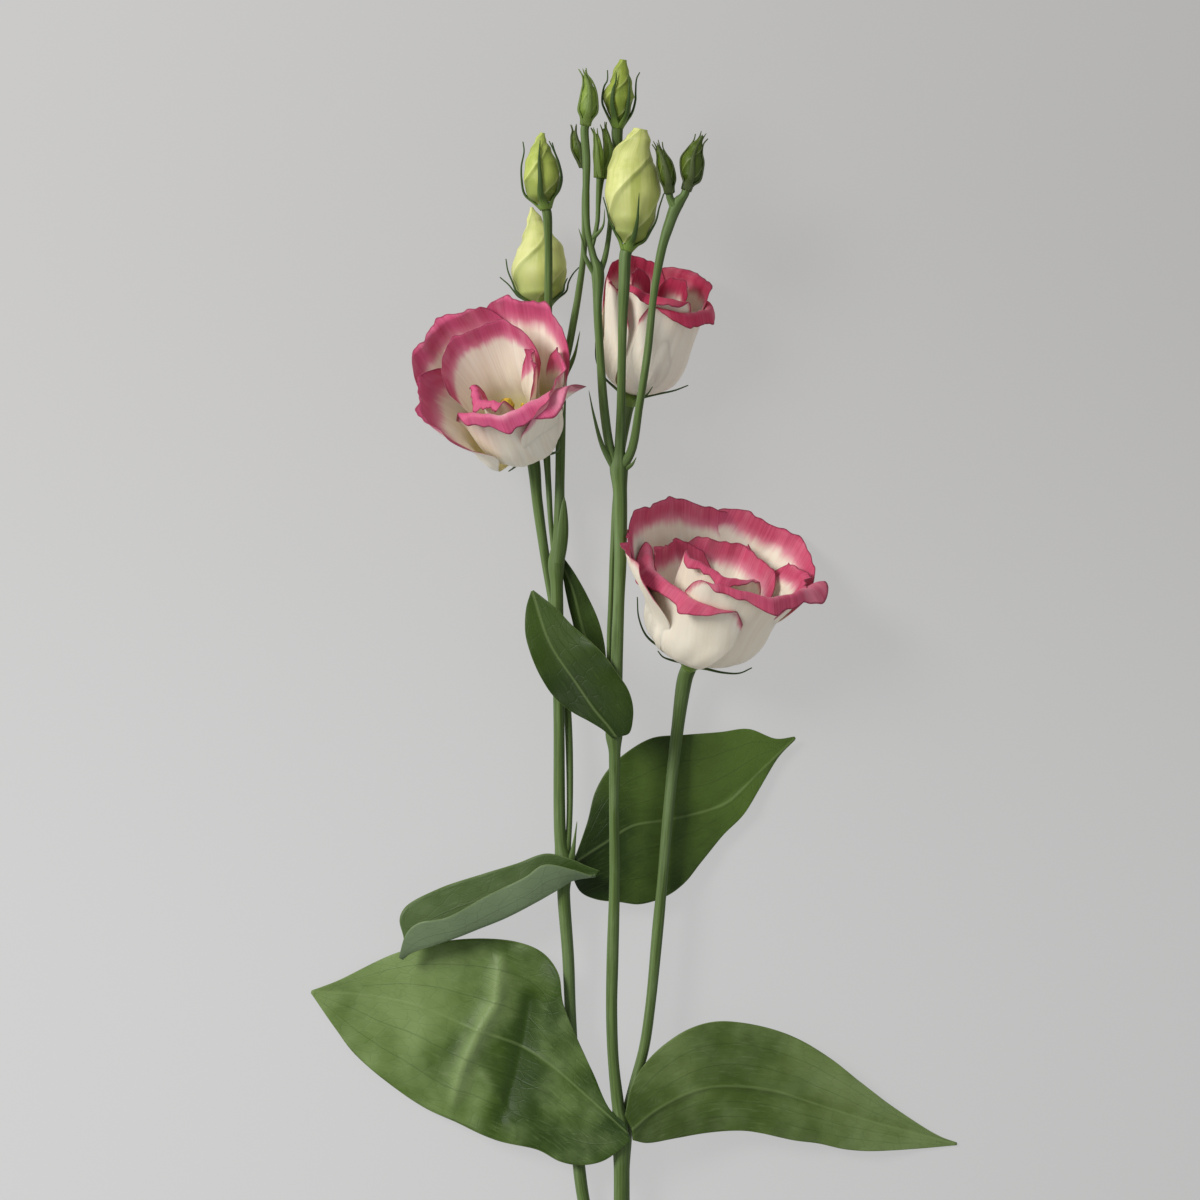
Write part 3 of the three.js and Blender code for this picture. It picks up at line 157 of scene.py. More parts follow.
# Leaves: upper, middle and lower rails from the base to the tip, and their waves. A crease is a line
# over the leaf in x and y, with the height of its ridge (a hollow is below 0) and its half width.
LEAVES = {
    "leaf_1": {
        "upper": [
            (-2.5, -129, 17.6), (-8.2, -124, 15.6), (-13.8, -112, 14), (-19.2, -100.3, 12.8),
            (-23.8, -89, 12), (-25.5, -78.7, 11.4), (-30.5, -72, 10.4), (-39.2, -68.3, 9),
            (-57.2, -67.3, 6.8), (-78.8, -71.7, 4.2), (-100.8, -82, 1.6), (-108.8, -85, 0.2),
        ],
        "middle": [
            (-2.2, -131.7, 17.8), (-15.5, -120, 14.2), (-28.5, -109, 11), (-39.2, -102.7, 9),
            (-53.8, -97.7, 6.6), (-71.8, -90.3, 4), (-92, -86.4, 1.6), (-108.9, -85.4, 0.1),
        ],
        "lower": [
            (-1.2, -134.3, 17.6), (-10.2, -141.3, 15), (-18.2, -143, 12.6), (-24.8, -142, 10.6),
            (-32.2, -138.3, 9), (-46.5, -135, 6.8), (-60.8, -128.7, 5), (-71.8, -123.7, 4),
            (-93.5, -107, 2.2), (-100.8, -97.7, 1.4), (-109, -85.9, 0.2),
        ],
        "wave": 1.1,
        "waves": 3,
        "creases": [
            ([(-45, -74), (-46.5, -89), (-52, -98), (-58, -111), (-62.5, -127)], 3.0, 3.0),
            ([(-35, -88), (-37, -100), (-40, -113), (-44, -126)], -3.2, 5.0),
            ([(-51, -113), (-45.5, -121), (-40, -133)], 1.2, 1.6),
            ([(-75, -80), (-70, -95), (-76, -112)], 1.2, 6),
        ],
    },
    "leaf_2": {
        "upper": [
            (-3.2, -126, 17.8), (-0.5, -115.3, 16.6), (4.2, -108, 15.9), (10.2, -102.3, 14.8),
            (18.8, -97, 13.2), (28.5, -94.7, 11.6), (43.5, -96.7, 10), (54.8, -100.7, 9),
            (65.8, -107.3, 7.4), (76.8, -116, 5.6), (88.2, -124.7, 3.6), (103.2, -134.2, 1),
            (108.8, -136.2, 0.2),
        ],
        "middle": [
            (-0.8, -130.8, 17.8), (6.2, -125, 15.6), (17.5, -119, 13), (26.5, -116.7, 11.4),
            (36.2, -116.7, 9.8), (47.2, -118.3, 8.2), (58.5, -122, 6.6), (69.5, -125.7, 4.8),
            (80.8, -129.3, 3.2), (91.8, -132.3, 1.8), (109, -136.7, 0.1),
        ],
        "lower": [
            (-0.5, -134.3, 17.4), (4.2, -135.4, 14.8), (13.8, -134, 12.2), (24.8, -132.3, 10.4),
            (36.2, -131.7, 9), (43.5, -132.7, 8.2), (53.2, -135, 7), (62.2, -136.3, 6),
            (71.2, -138.3, 5), (80.8, -138.9, 3.6), (95.5, -138.3, 1.6), (108.8, -137.2, 0.2),
        ],
        "wave": 0.9,
        "waves": 3,
        "creases": [([(2, -129), (26, -117), (58, -122), (92, -132)], -0.9, 3)],
    },
    "leaf_3": {
        "upper": [
            (-11.5, -44.1, 17.2), (-16.2, -42.3, 16.5), (-20.8, -40.3, 16), (-29.5, -38.3, 15.3),
            (-39.5, -41.7, 14), (-51.2, -45.3, 13), (-65.2, -50, 12), (-76.8, -56.3, 12),
            (-78.8, -60.5, 12), (-77.4, -67, 12), (-77.6, -73.2, 10.4),
        ],
        "middle": [
            (-13, -45.6, 16.5), (-20.8, -47, 15.7), (-25.8, -50, 15.6), (-34.8, -55, 15.8),
            (-44.2, -59.7, 15.2), (-53.5, -63.3, 14.6), (-67.5, -69, 13.6), (-75.2, -71.9, 12.4),
            (-77.8, -74, 11.8),
        ],
        "lower": [
            (-14.2, -45.9, 18.1), (-20, -43.8, 19.4), (-30.2, -41.9, 19.6), (-36.5, -46, 19.6),
            (-48.8, -52, 19), (-62.8, -59.6, 18), (-72.4, -61.6, 16.8), (-76.4, -65, 15.2),
            (-79, -73.2, 13.4),
        ],
        "wave": 0.5,
        "waves": 2,
        "folded": True,
        "creases": [],
    },
    "leaf_4": {
        "upper": [
            (-20, -40.3, 10.2), (-15.8, -28, 8), (-13.2, -18, 6.6), (-8.8, -10.3, 5.8),
            (-2.2, -4.3, 5.4), (6.2, 0.3, 5.2), (16.5, 1.3, 5), (29.2, 2.3, 5), (38.5, 3.3, 4.8),
            (47.8, 0, 4), (54, 0.7, 3),
        ],
        "middle": [
            (-21.4, -42.4, 10.2), (-9.8, -35, 8.2), (-0.5, -29.3, 7.4), (11.5, -27.3, 6.4),
            (25.2, -24, 5.2), (31.8, -21.3, 4.6), (41.8, -11.7, 3.8), (54.4, 0.2, 2.9),
        ],
        "lower": [
            (-21.2, -45.4, 9.8), (-18, -51.5, 8.2), (-12.8, -54, 7.6), (-4.5, -55, 7),
            (1.8, -55.7, 6.6), (10.8, -53, 6), (16.8, -48.7, 5.4), (22.5, -41.7, 4.8),
            (30.2, -32.3, 4.2), (36.8, -25.7, 3.6), (42.2, -17, 3.2), (48.8, -6, 2.8),
            (54.2, -0.5, 2.8),
        ],
        "wave": 0.6,
        "waves": 3,
        "creases": [([(-18, -41), (-0.5, -29), (25, -24), (42, -12)], -0.9, 2.6)],
    },
    "leaf_5": {
        "upper": [
            (-23.4, 60.5, 7.4), (-20.2, 56, 7.2), (-15.8, 48.3, 6.8), (-11.5, 38.3, 6.2),
            (-9.5, 28, 5.6), (-9.8, 13.8, 4.7),
        ],
        "middle": [
            (-24, 58.5, 6.6), (-20.6, 50, 6.4), (-17.6, 38.3, 5.8), (-14.4, 26.7, 5.2),
            (-10.4, 13.2, 4.6),
        ],
        "lower": [
            (-24.2, 56, 6.2), (-22.6, 47, 5.8), (-20.4, 38, 5.2), (-18.2, 28, 4.8),
            (-11.1, 13.8, 4.5),
        ],
        "wave": 0.3,
        "waves": 2,
        "creases": [],
    },
    "leaf_6": {
        "upper": [
            (-4.6, 1.2, 28.6), (-1.8, 2.2, 28.8), (-0.5, 7, 29.2), (-0.6, 12, 29.6),
            (-2.2, 17, 29.8), (-5.5, 22, 29.8), (-9.8, 28, 29), (-14.8, 33, 27.8),
            (-20.8, 38.3, 26), (-26.2, 44, 24.4), (-31.2, 48, 22.8), (-33.8, 50, 21.8),
        ],
        "middle": [
            (-6, 1, 28.6), (-8.6, 4.6, 28.4), (-13.2, 10, 27.6), (-19.2, 18.7, 25.8),
            (-28.2, 32.3, 23.4), (-34.2, 49.7, 21.6),
        ],
        "lower": [
            (-7.4, 0.6, 28.4), (-10.6, 3.4, 28), (-14.8, 6, 27.2), (-20.8, 9.3, 26.2),
            (-26.8, 14.3, 25.2), (-31.5, 21.3, 24.4), (-34.8, 29, 23.8), (-36.5, 35.7, 23),
            (-36.2, 44, 22.2), (-34.6, 49.6, 21.6),
        ],
        "wave": 0.5,
        "waves": 2,
        "creases": [],
    },
}

# Blooms: base and mouth of the cup. A petal is (side in degrees round the axis, half width, distance
# from the axis at the body and at the rim, height, length of the lip that rolls over, how far it
# stands off the middle layer). Ruffle says how much the edges wave. By a petal's number, flares give
# how far both ends of its rim stand out and how far the rim swings, out at its right end and in at its
# left, and bands give how many times wider its margin is.
# A sepal is (side, reach, how far it stands off, lift of its tip).
BLOOMS = {
    "bloom_1": {
        "base": (-36, 97.6, 12.6),
        "mouth": (-47.8, 123, 46.6),
        "ruffle": 0.8,
        "flares": {4: (8.5, 5)},
        "bands": {0: 1.6, 1: 1.2, 2: 1.25, 3: 1.5, 4: 0.9},
        "petals": [
            (195, 21.5, 15, 24, 41, 2, 2.4), (128, 22, 18, 28.1, 44.3, 2.5, 1.6),
            (66, 22, 17, 28.2, 43.6, 2, 1.6), (348, 19, 15, 21.6, 41.4, 2, 1.6),
            (284, 19.5, 14, 12.5, 45, 7.5, 2.4), (102, 29, 15, 22.5, 42.5, 1, -2.8),
            (20, 8, 12.5, 18.5, 40, 1, -4.2), (232, 11, 10.5, 10, 39, 5, -3),
        ],
        "sepals": [
            (250, 0.24, 3.6, 0.4), (325, 0.5, 3.6, 1.6), (30, 0.4, 3.6, 0.4), (110, 0.4, 3.6, 0.4),
            (180, 0.4, 3.6, 0.4),
        ],
    },
    "bloom_2": {
        "base": (-0.8, 116, 8.6),
        "mouth": (8.5, 151.7, 22),
        "ruffle": 0.45,
        "flares": {},
        "bands": {},
        "petals": [
            (205, 11, 13, 16.9, 39.4, 2, 1.2), (260, 17, 13, 14, 44.5, 5.5, 1.2),
            (322, 20, 13.5, 15, 42, 7, 1.6), (48, 17, 13.5, 16.5, 42.5, 3, 1.2),
            (125, 15, 13.5, 16.8, 42.1, 1, 1.2), (165, 10, 10.5, 11.5, 40.5, 0.5, -2),
            (290, 9, 10.5, 11.8, 37.1, 1, -2), (40, 10, 10.5, 12, 39.5, 0.5, -2),
        ],
        "sepals": [
            (178, 0.5, 3.2, 1), (0, 0.34, 3.4, 4), (290, 0.34, 3.4, 0.6), (130, 0.3, 3, 0),
            (50, 0.3, 3, 0),
        ],
    },
    "bloom_3": {
        "base": (19.2, 26.6, 13.2),
        "mouth": (31.2, 61.7, 30.4),
        "ruffle": 1.0,
        "flares": {4: (5, 5), 5: (3, -3)},
        "bands": {},
        "petals": [
            (186, 20, 19, 32.7, 37.3, 2.5, 1.6), (126, 31, 18.5, 33.1, 41.9, 2, 1.6),
            (62, 31, 19, 34.6, 41.9, 2, 1.6), (8, 18, 18.5, 26.5, 39, 2.5, 1.6),
            (308, 32, 19, 24.5, 46, 6.8, 2), (221, 30, 19, 21.3, 38.5, 7.5, 2.4),
            (255, 20, 16.5, 17.5, 44, 5.5, -1.6), (76, 22, 16, 27, 33, 1, -2.6),
            (146, 18, 16, 25, 32, 1, -2.6), (205, 11, 12, 13.8, 34.1, 1, -3.6),
        ],
        "sepals": [
            (225, 0.3, 4.9, 0.2), (320, 0.42, 3.6, 2.6), (182, 0.6, 4, 1.2), (40, 0.22, 3.4, 0),
            (140, 0.22, 3.4, 0),
        ],
    },
}

# Buds: points (x, y, z, radius) from base to tip, and sepals (side, reach, lift of the tip)
BUDS = {
    "bud_d": ([
        (-30, 179.2, 30.4, 2.6), (-30.8, 182.7, 30.8, 5.4), (-30.8, 187.3, 31.2, 6.3),
        (-31.2, 192.3, 31.6, 5.6), (-31.2, 196.7, 32, 3.6), (-31.2, 199.7, 32.3, 1.9),
        (-30.6, 202.3, 32.5, 0.8),
    ], [(175, 0.8, 3.4), (265, 0.85, 0.5), (340, 0.85, 0.6), (15, 0.8, 1.4), (95, 0.7, 0.5)]),
    "bud_e": ([
        (-31, 145.8, 12, 3.2), (-31.3, 150.6, 12.1, 8.2), (-31.8, 157.3, 12.2, 9.7),
        (-31.8, 164, 12.3, 8.2), (-32.5, 169.3, 12.4, 5.2), (-33.5, 174, 12.4, 2.7),
        (-34.5, 178.5, 12.2, 0.6),
    ], [(180, 0.3, 3.4), (200, 0.42, 2.6), (0, 0.36, 3.2), (330, 0.25, 1.2), (90, 0.3, 0.3)]),
    "bud_f": ([
        (-5.5, 205.8, 38.4, 2.4), (-5.2, 209.3, 39, 4), (-5.3, 214, 39.6, 5.4),
        (-4.5, 218.3, 40, 3.8), (-4.5, 221.7, 40.3, 2.8), (-3.8, 226.1, 40.6, 1.2),
    ], [(188, 0.82, 1.4), (246, 0.8, 0.6), (307, 0.8, 0.8), (8, 0.85, 3.2), (84, 0.7, 0.6)]),
    "bud_g": ([
        (-2.2, 164.6, 45.9, 2.6), (-1.2, 168.6, 46.2, 6), (-0.8, 174, 46.4, 8.1),
        (-0.8, 181.7, 46.6, 9.5), (-0.8, 188, 46.8, 8.9), (-0.5, 193.3, 47, 7), (1.2, 199, 47.2, 4.2),
        (1.9, 202.6, 47.2, 2.4),
    ], [(282, 0.42, 0.7), (340, 0.42, 1.2), (20, 0.42, 1.1), (200, 0.4, 0.5), (90, 0.4, 0.4)]),
    "bud_h": ([
        (-16, 206.2, 44.6, 1.7), (-15.5, 209.3, 45, 3.1), (-15.2, 214, 45.2, 2.6),
        (-15.5, 217.7, 45.3, 1.4), (-16.6, 220.7, 45.3, 0.4),
    ], [(190, 1, 0.3), (276, 1, 0.2), (352, 1, 0.3)]),
    "bud_i": ([
        (-17.5, 192.9, 36.4, 1.3), (-18.8, 196.7, 37, 1.9), (-19.8, 200, 37.4, 1.2),
        (-19.9, 202.7, 37.6, 0.4),
    ], [(190, 1, 0.3), (300, 1, 0.2), (80, 0.9, 0.6)]),
    "bud_j": ([
        (17.7, 184.3, 49.1, 1.5), (18.8, 187.3, 49.3, 3.4), (19, 192, 49.5, 3.7),
        (20.2, 196, 49.6, 2.2), (22.4, 200.3, 49.6, 0.4),
    ], [(180, 0.86, 0.2), (270, 0.9, 0.3), (350, 0.88, 0.3)]),
    "bud_k": ([
        (11.2, 183.4, 50.4, 1.5), (10.8, 186.7, 51.4, 2.5), (9.8, 190.7, 51.6, 2.3),
        (8.6, 194.3, 51.6, 1.2), (7.6, 197, 51.6, 0.4),
    ], [(185, 0.88, 0.3), (270, 0.9, 0.2), (0, 0.86, 0.3)]),
    "bud_m": ([
        (-11.9, 189, 42.6, 1), (-11.8, 194, 43, 1.6), (-12.2, 198.3, 43.3, 1.1),
        (-12.8, 201.3, 43.5, 0.4),
    ], [(180, 1, 0.3), (245, 1, 0.2)]),
    "bud_n": ([
        (-10.2, 189, 39.7, 1), (-8.9, 194.6, 39, 1.6), (-9.3, 199.3, 39, 1.1),
        (-10.2, 203.3, 39, 0.4),
    ], [(0, 1, 0.3), (310, 1, 0.2)]),
}
OPENING_BUDS = ("bud_d", "bud_e", "bud_f", "bud_g")
BRIGHT_BUDS = ("bud_h", "bud_m", "bud_n")


# Curves and paths

def smoothstep(x, low, high):
    """Rises from 0 at low to 1 at high, level at both ends: t squared times (3 - 2t)."""
    t = np.clip((x - low) / (high - low), 0, 1)
    return t * t * (3 - 2 * t)


def unit(vectors):
    """Each vector divided by its length."""
    return vectors / np.maximum(np.linalg.norm(vectors, axis=-1, keepdims=True), 1e-12)


class Curve:
    """A smooth curve through points: in each span a cubic whose slopes at the two ends weigh the
    neighbouring spans by the square roots of their lengths."""

    def __init__(self, points):
        self.points = np.array(points, float)[:, :3]
        self.ends = np.vstack([
            2 * self.points[0] - self.points[1],
            self.points,
            2 * self.points[-1] - self.points[-2],
        ])
        self.spans = len(self.points) - 1
        steps = np.linspace(0, 1, 201)
        lengths = np.linalg.norm(np.diff(self.at(steps), axis=0), axis=1)
        self.steps = steps
        self.travelled = np.concatenate([[0], np.cumsum(lengths)])
        self.length = self.travelled[-1]

    def at(self, t):
        """The point at t, which runs from 0 to 1 in equal steps from point to point."""
        place = np.clip(np.asarray(t, float), 0, 1) * self.spans
        span = np.minimum(place.astype(int), self.spans - 1)
        w = (place - span)[..., None]
        a, b, c, d = (self.ends[span + k] for k in range(4))
        before, here, after = (
            np.maximum(np.sum((q - p) ** 2, axis=-1, keepdims=True) ** 0.25, 1e-4)
            for p, q in ((a, b), (b, c), (c, d)))
        start = ((b - a) / before - (c - a) / (before + here) + (c - b) / here) * here
        end = ((c - b) / here - (d - b) / (here + after) + (d - c) / after) * here
        square = 3 * (c - b) - 2 * start - end
        cube = 2 * (b - c) + start + end
        return b + w * start + w ** 2 * square + w ** 3 * cube

    def tangent(self, t):
        t = np.asarray(t, float)
        return unit(self.at(np.minimum(t + 1e-4, 1)) - self.at(np.maximum(t - 1e-4, 0)))

    def even(self, share):
        """The point at a share of the curve's length."""
        return self.at(np.interp(np.asarray(share) * self.length, self.travelled, self.steps))


class Path(Curve):
    """A curve with a radius at each point, eased from one point to the next."""

    def __init__(self, points):
        super().__init__(points)
        self.radii = np.array(points, float)[:, 3]

    def radius(self, t):
        """The radius at t."""
        place = np.clip(np.asarray(t, float), 0, 1) * self.spans
        span = np.minimum(place.astype(int), self.spans - 1)
        ease = smoothstep(place - span, 0, 1)
        return self.radii[span] * (1 - ease) + self.radii[span + 1] * ease


# Meshes

def add_object(name, data):
    """Puts an object into the scene, at the origin and unturned."""
    item = bpy.data.objects.new(name, data)
    bpy.context.collection.objects.link(item)
    return item


class Shell:
    """The mesh of one piece, gathered from grids of points, with numbers marked on its vertices."""

    def __init__(self, *marks):
        self.points = []
        self.quads = []
        self.triangles = []
        self.marks = {mark: [] for mark in marks}
        self.count = 0

    def grid(self, points, marks, around=False, turned=False):
        """Adds a grid of points[row, column] as four-sided faces; around joins the last column to
        the first. Returns the number of each vertex."""
        rows, columns = points.shape[:2]
        numbers = self.count + np.arange(rows * columns).reshape(rows, columns)
        self.points.append(points.reshape(-1, 3))
        for mark, values in self.marks.items():
            values.append(np.broadcast_to(marks.get(mark, 0.0), (rows, columns)).reshape(-1))
        self.count += rows * columns
        wide = np.concatenate([numbers, numbers[:, :1]], axis=1) if around else numbers
        self.add_quads(wide, turned)
        return numbers

    def add_quads(self, numbers, turned=False):
        """Joins the vertices of a grid by four-sided faces."""
        corners = [numbers[:-1, :-1], numbers[:-1, 1:], numbers[1:, 1:], numbers[1:, :-1]]
        faces = np.stack([corner.reshape(-1) for corner in corners], axis=1)
        self.quads.append(faces[:, ::-1] if turned else faces)

    def blade(self, points, thickness, marks):
        """A thin skin on both sides of a grid: each side lies half the thickness from the grid along
        its normal, and a strip joins them round the rim."""
        across = np.gradient(points, axis=1)
        along = np.gradient(points, axis=0)
        normal = unit(np.cross(across, along)) * (np.asarray(thickness) / 2)[..., None]
        front = self.grid(points + normal, {**marks, "inner": 0.0})
        back = self.grid(points - normal, {**marks, "inner": 1.0}, turned=True)
        rim = [
            (front[0], back[0]), (front[:, -1], back[:, -1]), (front[-1, ::-1], back[-1, ::-1]),
            (front[::-1, 0], back[::-1, 0]),
        ]
        for edge, other in rim:
            self.add_quads(np.stack([edge, other]), turned=True)

    def tube(self, rings, marks):
        """A tube round rings[i, k], with each end closed to its middle."""
        marks = {mark: np.broadcast_to(marks.get(mark, 0.0), rings.shape[:2]) for mark in self.marks}
        numbers = self.grid(rings, marks, around=True)
        for end, turned in ((0, True), (-1, False)):
            self.fan(numbers[end], rings[end].mean(axis=0), marks, end, turned)

    def fan(self, ring, middle, marks, end, turned):
        """Closes a ring by triangles to its middle, whose marks are the mean of the ring's."""
        hub = self.count
        self.points.append(middle[None])
        for mark, values in self.marks.items():
            values.append(np.array([marks[mark][end].mean()]))
        self.count += 1
        following = np.roll(ring, -1)
        faces = np.stack([ring, following, np.full_like(ring, hub)], axis=1)
        self.triangles.append(faces[:, ::-1] if turned else faces)

    def piece(self, name, finish, slot, node):
        """Makes the object, in metres, and lets it stand for a node of the solid model."""
        mesh = bpy.data.meshes.new(name)
        faces = [face for part in (*self.quads, *self.triangles) for face in part.tolist()]
        points = np.concatenate(self.points) * METRES
        mesh.from_pydata(points.tolist(), [], faces)
        for mark, values in self.marks.items():
            layer = mesh.attributes.new(mark, "FLOAT", "POINT")
            layer.data.foreach_set("value", np.concatenate(values).astype(np.float32))
        mesh.polygons.foreach_set("use_smooth", np.ones(len(mesh.polygons), bool))
        mesh.materials.append(finish.material)
        mesh.validate()
        mesh.update()
        piece = add_object(name, mesh)
        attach(piece, "root")
        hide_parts(node)


# Finishes

def tint(red, green, blue):
    """A colour given in steps from 0 to 255, as the shader wants it."""
    share = np.array([red, green, blue]) / 255
    linear = np.where(share <= 0.04045, share / 12.92, ((share + 0.055) / 1.055) ** 2.4)
    return (*linear.tolist(), 1.0)


class Value:
    """A number that changes over a surface. Arithmetic on it adds Math nodes."""

    def __init__(self, finish, socket):
        self.finish = finish
        self.socket = socket

    def math(self, operation, *numbers):
        return self.finish.node("ShaderNodeMath", {"operation": operation}, dict(enumerate(numbers)))

    def __add__(self, other):
        return self.math("ADD", self, other)

    def __radd__(self, other):
        return self.math("ADD", other, self)

    def __sub__(self, other):
        return self.math("SUBTRACT", self, other)

    def __rsub__(self, other):
        return self.math("SUBTRACT", other, self)

    def __mul__(self, other):
        return self.math("MULTIPLY", self, other)

    def __rmul__(self, other):
        return self.math("MULTIPLY", other, self)

    def sine(self):
        return self.math("SINE", self)

    def size(self):
        """The number without its sign."""
        return self.math("ABSOLUTE", self)


class Finish:
    """A material: its nodes are added with node(), and its numbers worked out with Value."""

    def __init__(self, name, **constants):
        self.material = bpy.data.materials.new(name)
        self.material.use_nodes = True
        self.tree = self.material.node_tree
        self.shader = self.tree.nodes["Principled BSDF"]
        for socket, number in constants.items():
            self.shader.inputs[socket.replace("_", " ")].default_value = number

    def plug(self, socket, value):
        """Links a Value to a socket, or sets the socket to a plain number or colour."""
        if isinstance(value, Value):
            self.tree.links.new(value.socket, socket)
        else:
            socket.default_value = value

    def node(self, kind, settings=None, inputs=None, out=0):
        """Adds a node with its settings, then its sockets' values or links, and gives one output."""
        node = self.tree.nodes.new(kind)
        for setting, value in (settings or {}).items():
            setattr(node, setting, value)
        for socket, value in (inputs or {}).items():
            self.plug(node.inputs[socket], value)
        return Value(self, node.outputs[out])

    def mark(self, name):
        """A number marked on the vertices."""
        return self.node("ShaderNodeAttribute", {"attribute_name": name}, out="Fac")

    def spot(self, x, y, z=0.0):
        return self.node("ShaderNodeCombineXYZ", inputs={"X": x, "Y": y, "Z": z})

    def place(self):
        return self.node("ShaderNodeTexCoord", out="Object")

    def noise(self, spot, scale, detail=2.0, roughness=0.5):
        inputs = {"Vector": spot, "Scale": scale, "Detail": detail, "Roughness": roughness}
        return self.node("ShaderNodeTexNoise", inputs=inputs)

    def streaks(self, x, y, z=0.0, detail=3.0, roughness=0.6):
        """Noise at (x, y, z), which runs out to streaks along the number that is scaled down most."""
        return self.noise(self.spot(x, y, z), 1.0, detail, roughness)

    def between(self, value, low, high):
        """0 at low, 1 at high, eased."""
        inputs = {"Value": value, "From Min": low, "From Max": high}
        return self.node("ShaderNodeMapRange", {"interpolation_type": "SMOOTHSTEP"}, inputs)

    def mix(self, share, first, second):
        """From the first colour to the second."""
        inputs = {0: share, 6: first, 7: second}
        return self.node("ShaderNodeMix", {"data_type": "RGBA"}, inputs, out=2)

    def coats(self, colour, *coats):
        """A colour with others laid over it in turn, each by its share."""
        for share, coat in coats:
            colour = self.mix(share, colour, coat)
        return colour

    def colour(self, colour):
        self.plug(self.shader.inputs["Base Color"], colour)

    def roughness(self, value):
        self.plug(self.shader.inputs["Roughness"], value)

    def relief(self, height, depth, strength):
        """Bump whose full height is the given depth in millimetres."""
        inputs = {"Height": height, "Distance": depth * METRES, "Strength": strength}
        self.plug(self.shader.inputs["Normal"], self.node("ShaderNodeBump", inputs=inputs))


def petal_finish(name, rose, deep, pale, cream, margin):
    """Cream with a rose margin: full on the inside of a petal and narrow on its outside, feathered
    at its inner limit by streaks that run down the petal, with a dark line along the free edge.
    The cream turns yellow-green towards the root."""
    finish = Finish(
        name, Subsurface_Weight=0.2, Subsurface_Scale=0.0012, Subsurface_Radius=(1.0, 0.75, 0.6),
        Specular_IOR_Level=0.25)
    rim = finish.mark("rim")
    across = finish.mark("across")
    along = finish.mark("along")
    inner = finish.mark("inner")
    seed = finish.mark("seed")
    root = finish.mark("root")
    streaks = finish.streaks(across * 0.75, along * 0.035, seed)
    fine = finish.streaks(across * 2.4, along * 0.06, seed + 7.0, 2.0)
    broad = finish.streaks(across * 0.16, along * 0.1, seed + 3.0, 2.0, 0.5)
    uneven = (streaks - 0.5) * 0.3 + (broad - 0.5) * 0.6
    reach = margin * (0.3 + 0.7 * inner + uneven)
    stain = finish.between(reach - rim, -1.3, 1.5)
    depth = finish.between(root - 0.32 * inner + (streaks - 0.5) * 0.12, 0.22, 0.0)
    ground = finish.coats(
        cream,
        (finish.between(streaks, 0.2, 0.8) * 0.6, tint(226, 212, 190)),
        (depth * (0.3 + 0.55 * inner), tint(206, 196, 132)),
        (finish.between(reach + 4.0 - rim, 0.0, 6.0) * 0.14, pale))
    pink = finish.coats(
        deep,
        (finish.between(fine, 0.2, 0.85) * 0.7 + 0.15, rose),
        (finish.between(broad, 0.45, 0.8) * 0.35, pale),
        (finish.between(rim, margin * 0.45, margin) * 0.5, pale))
    line = finish.between(rim + (fine - 0.5) * 0.4, 0.5, 0.1) * 0.7
    finish.colour(finish.coats(
        ground, (stain * (0.85 + 0.15 * inner), pink), (line, tint(122, 34, 62))))
    finish.roughness(0.5 + 0.12 * fine)
    finish.relief(streaks * 0.7 + fine * 0.3, 0.2, 0.4)
    return finish


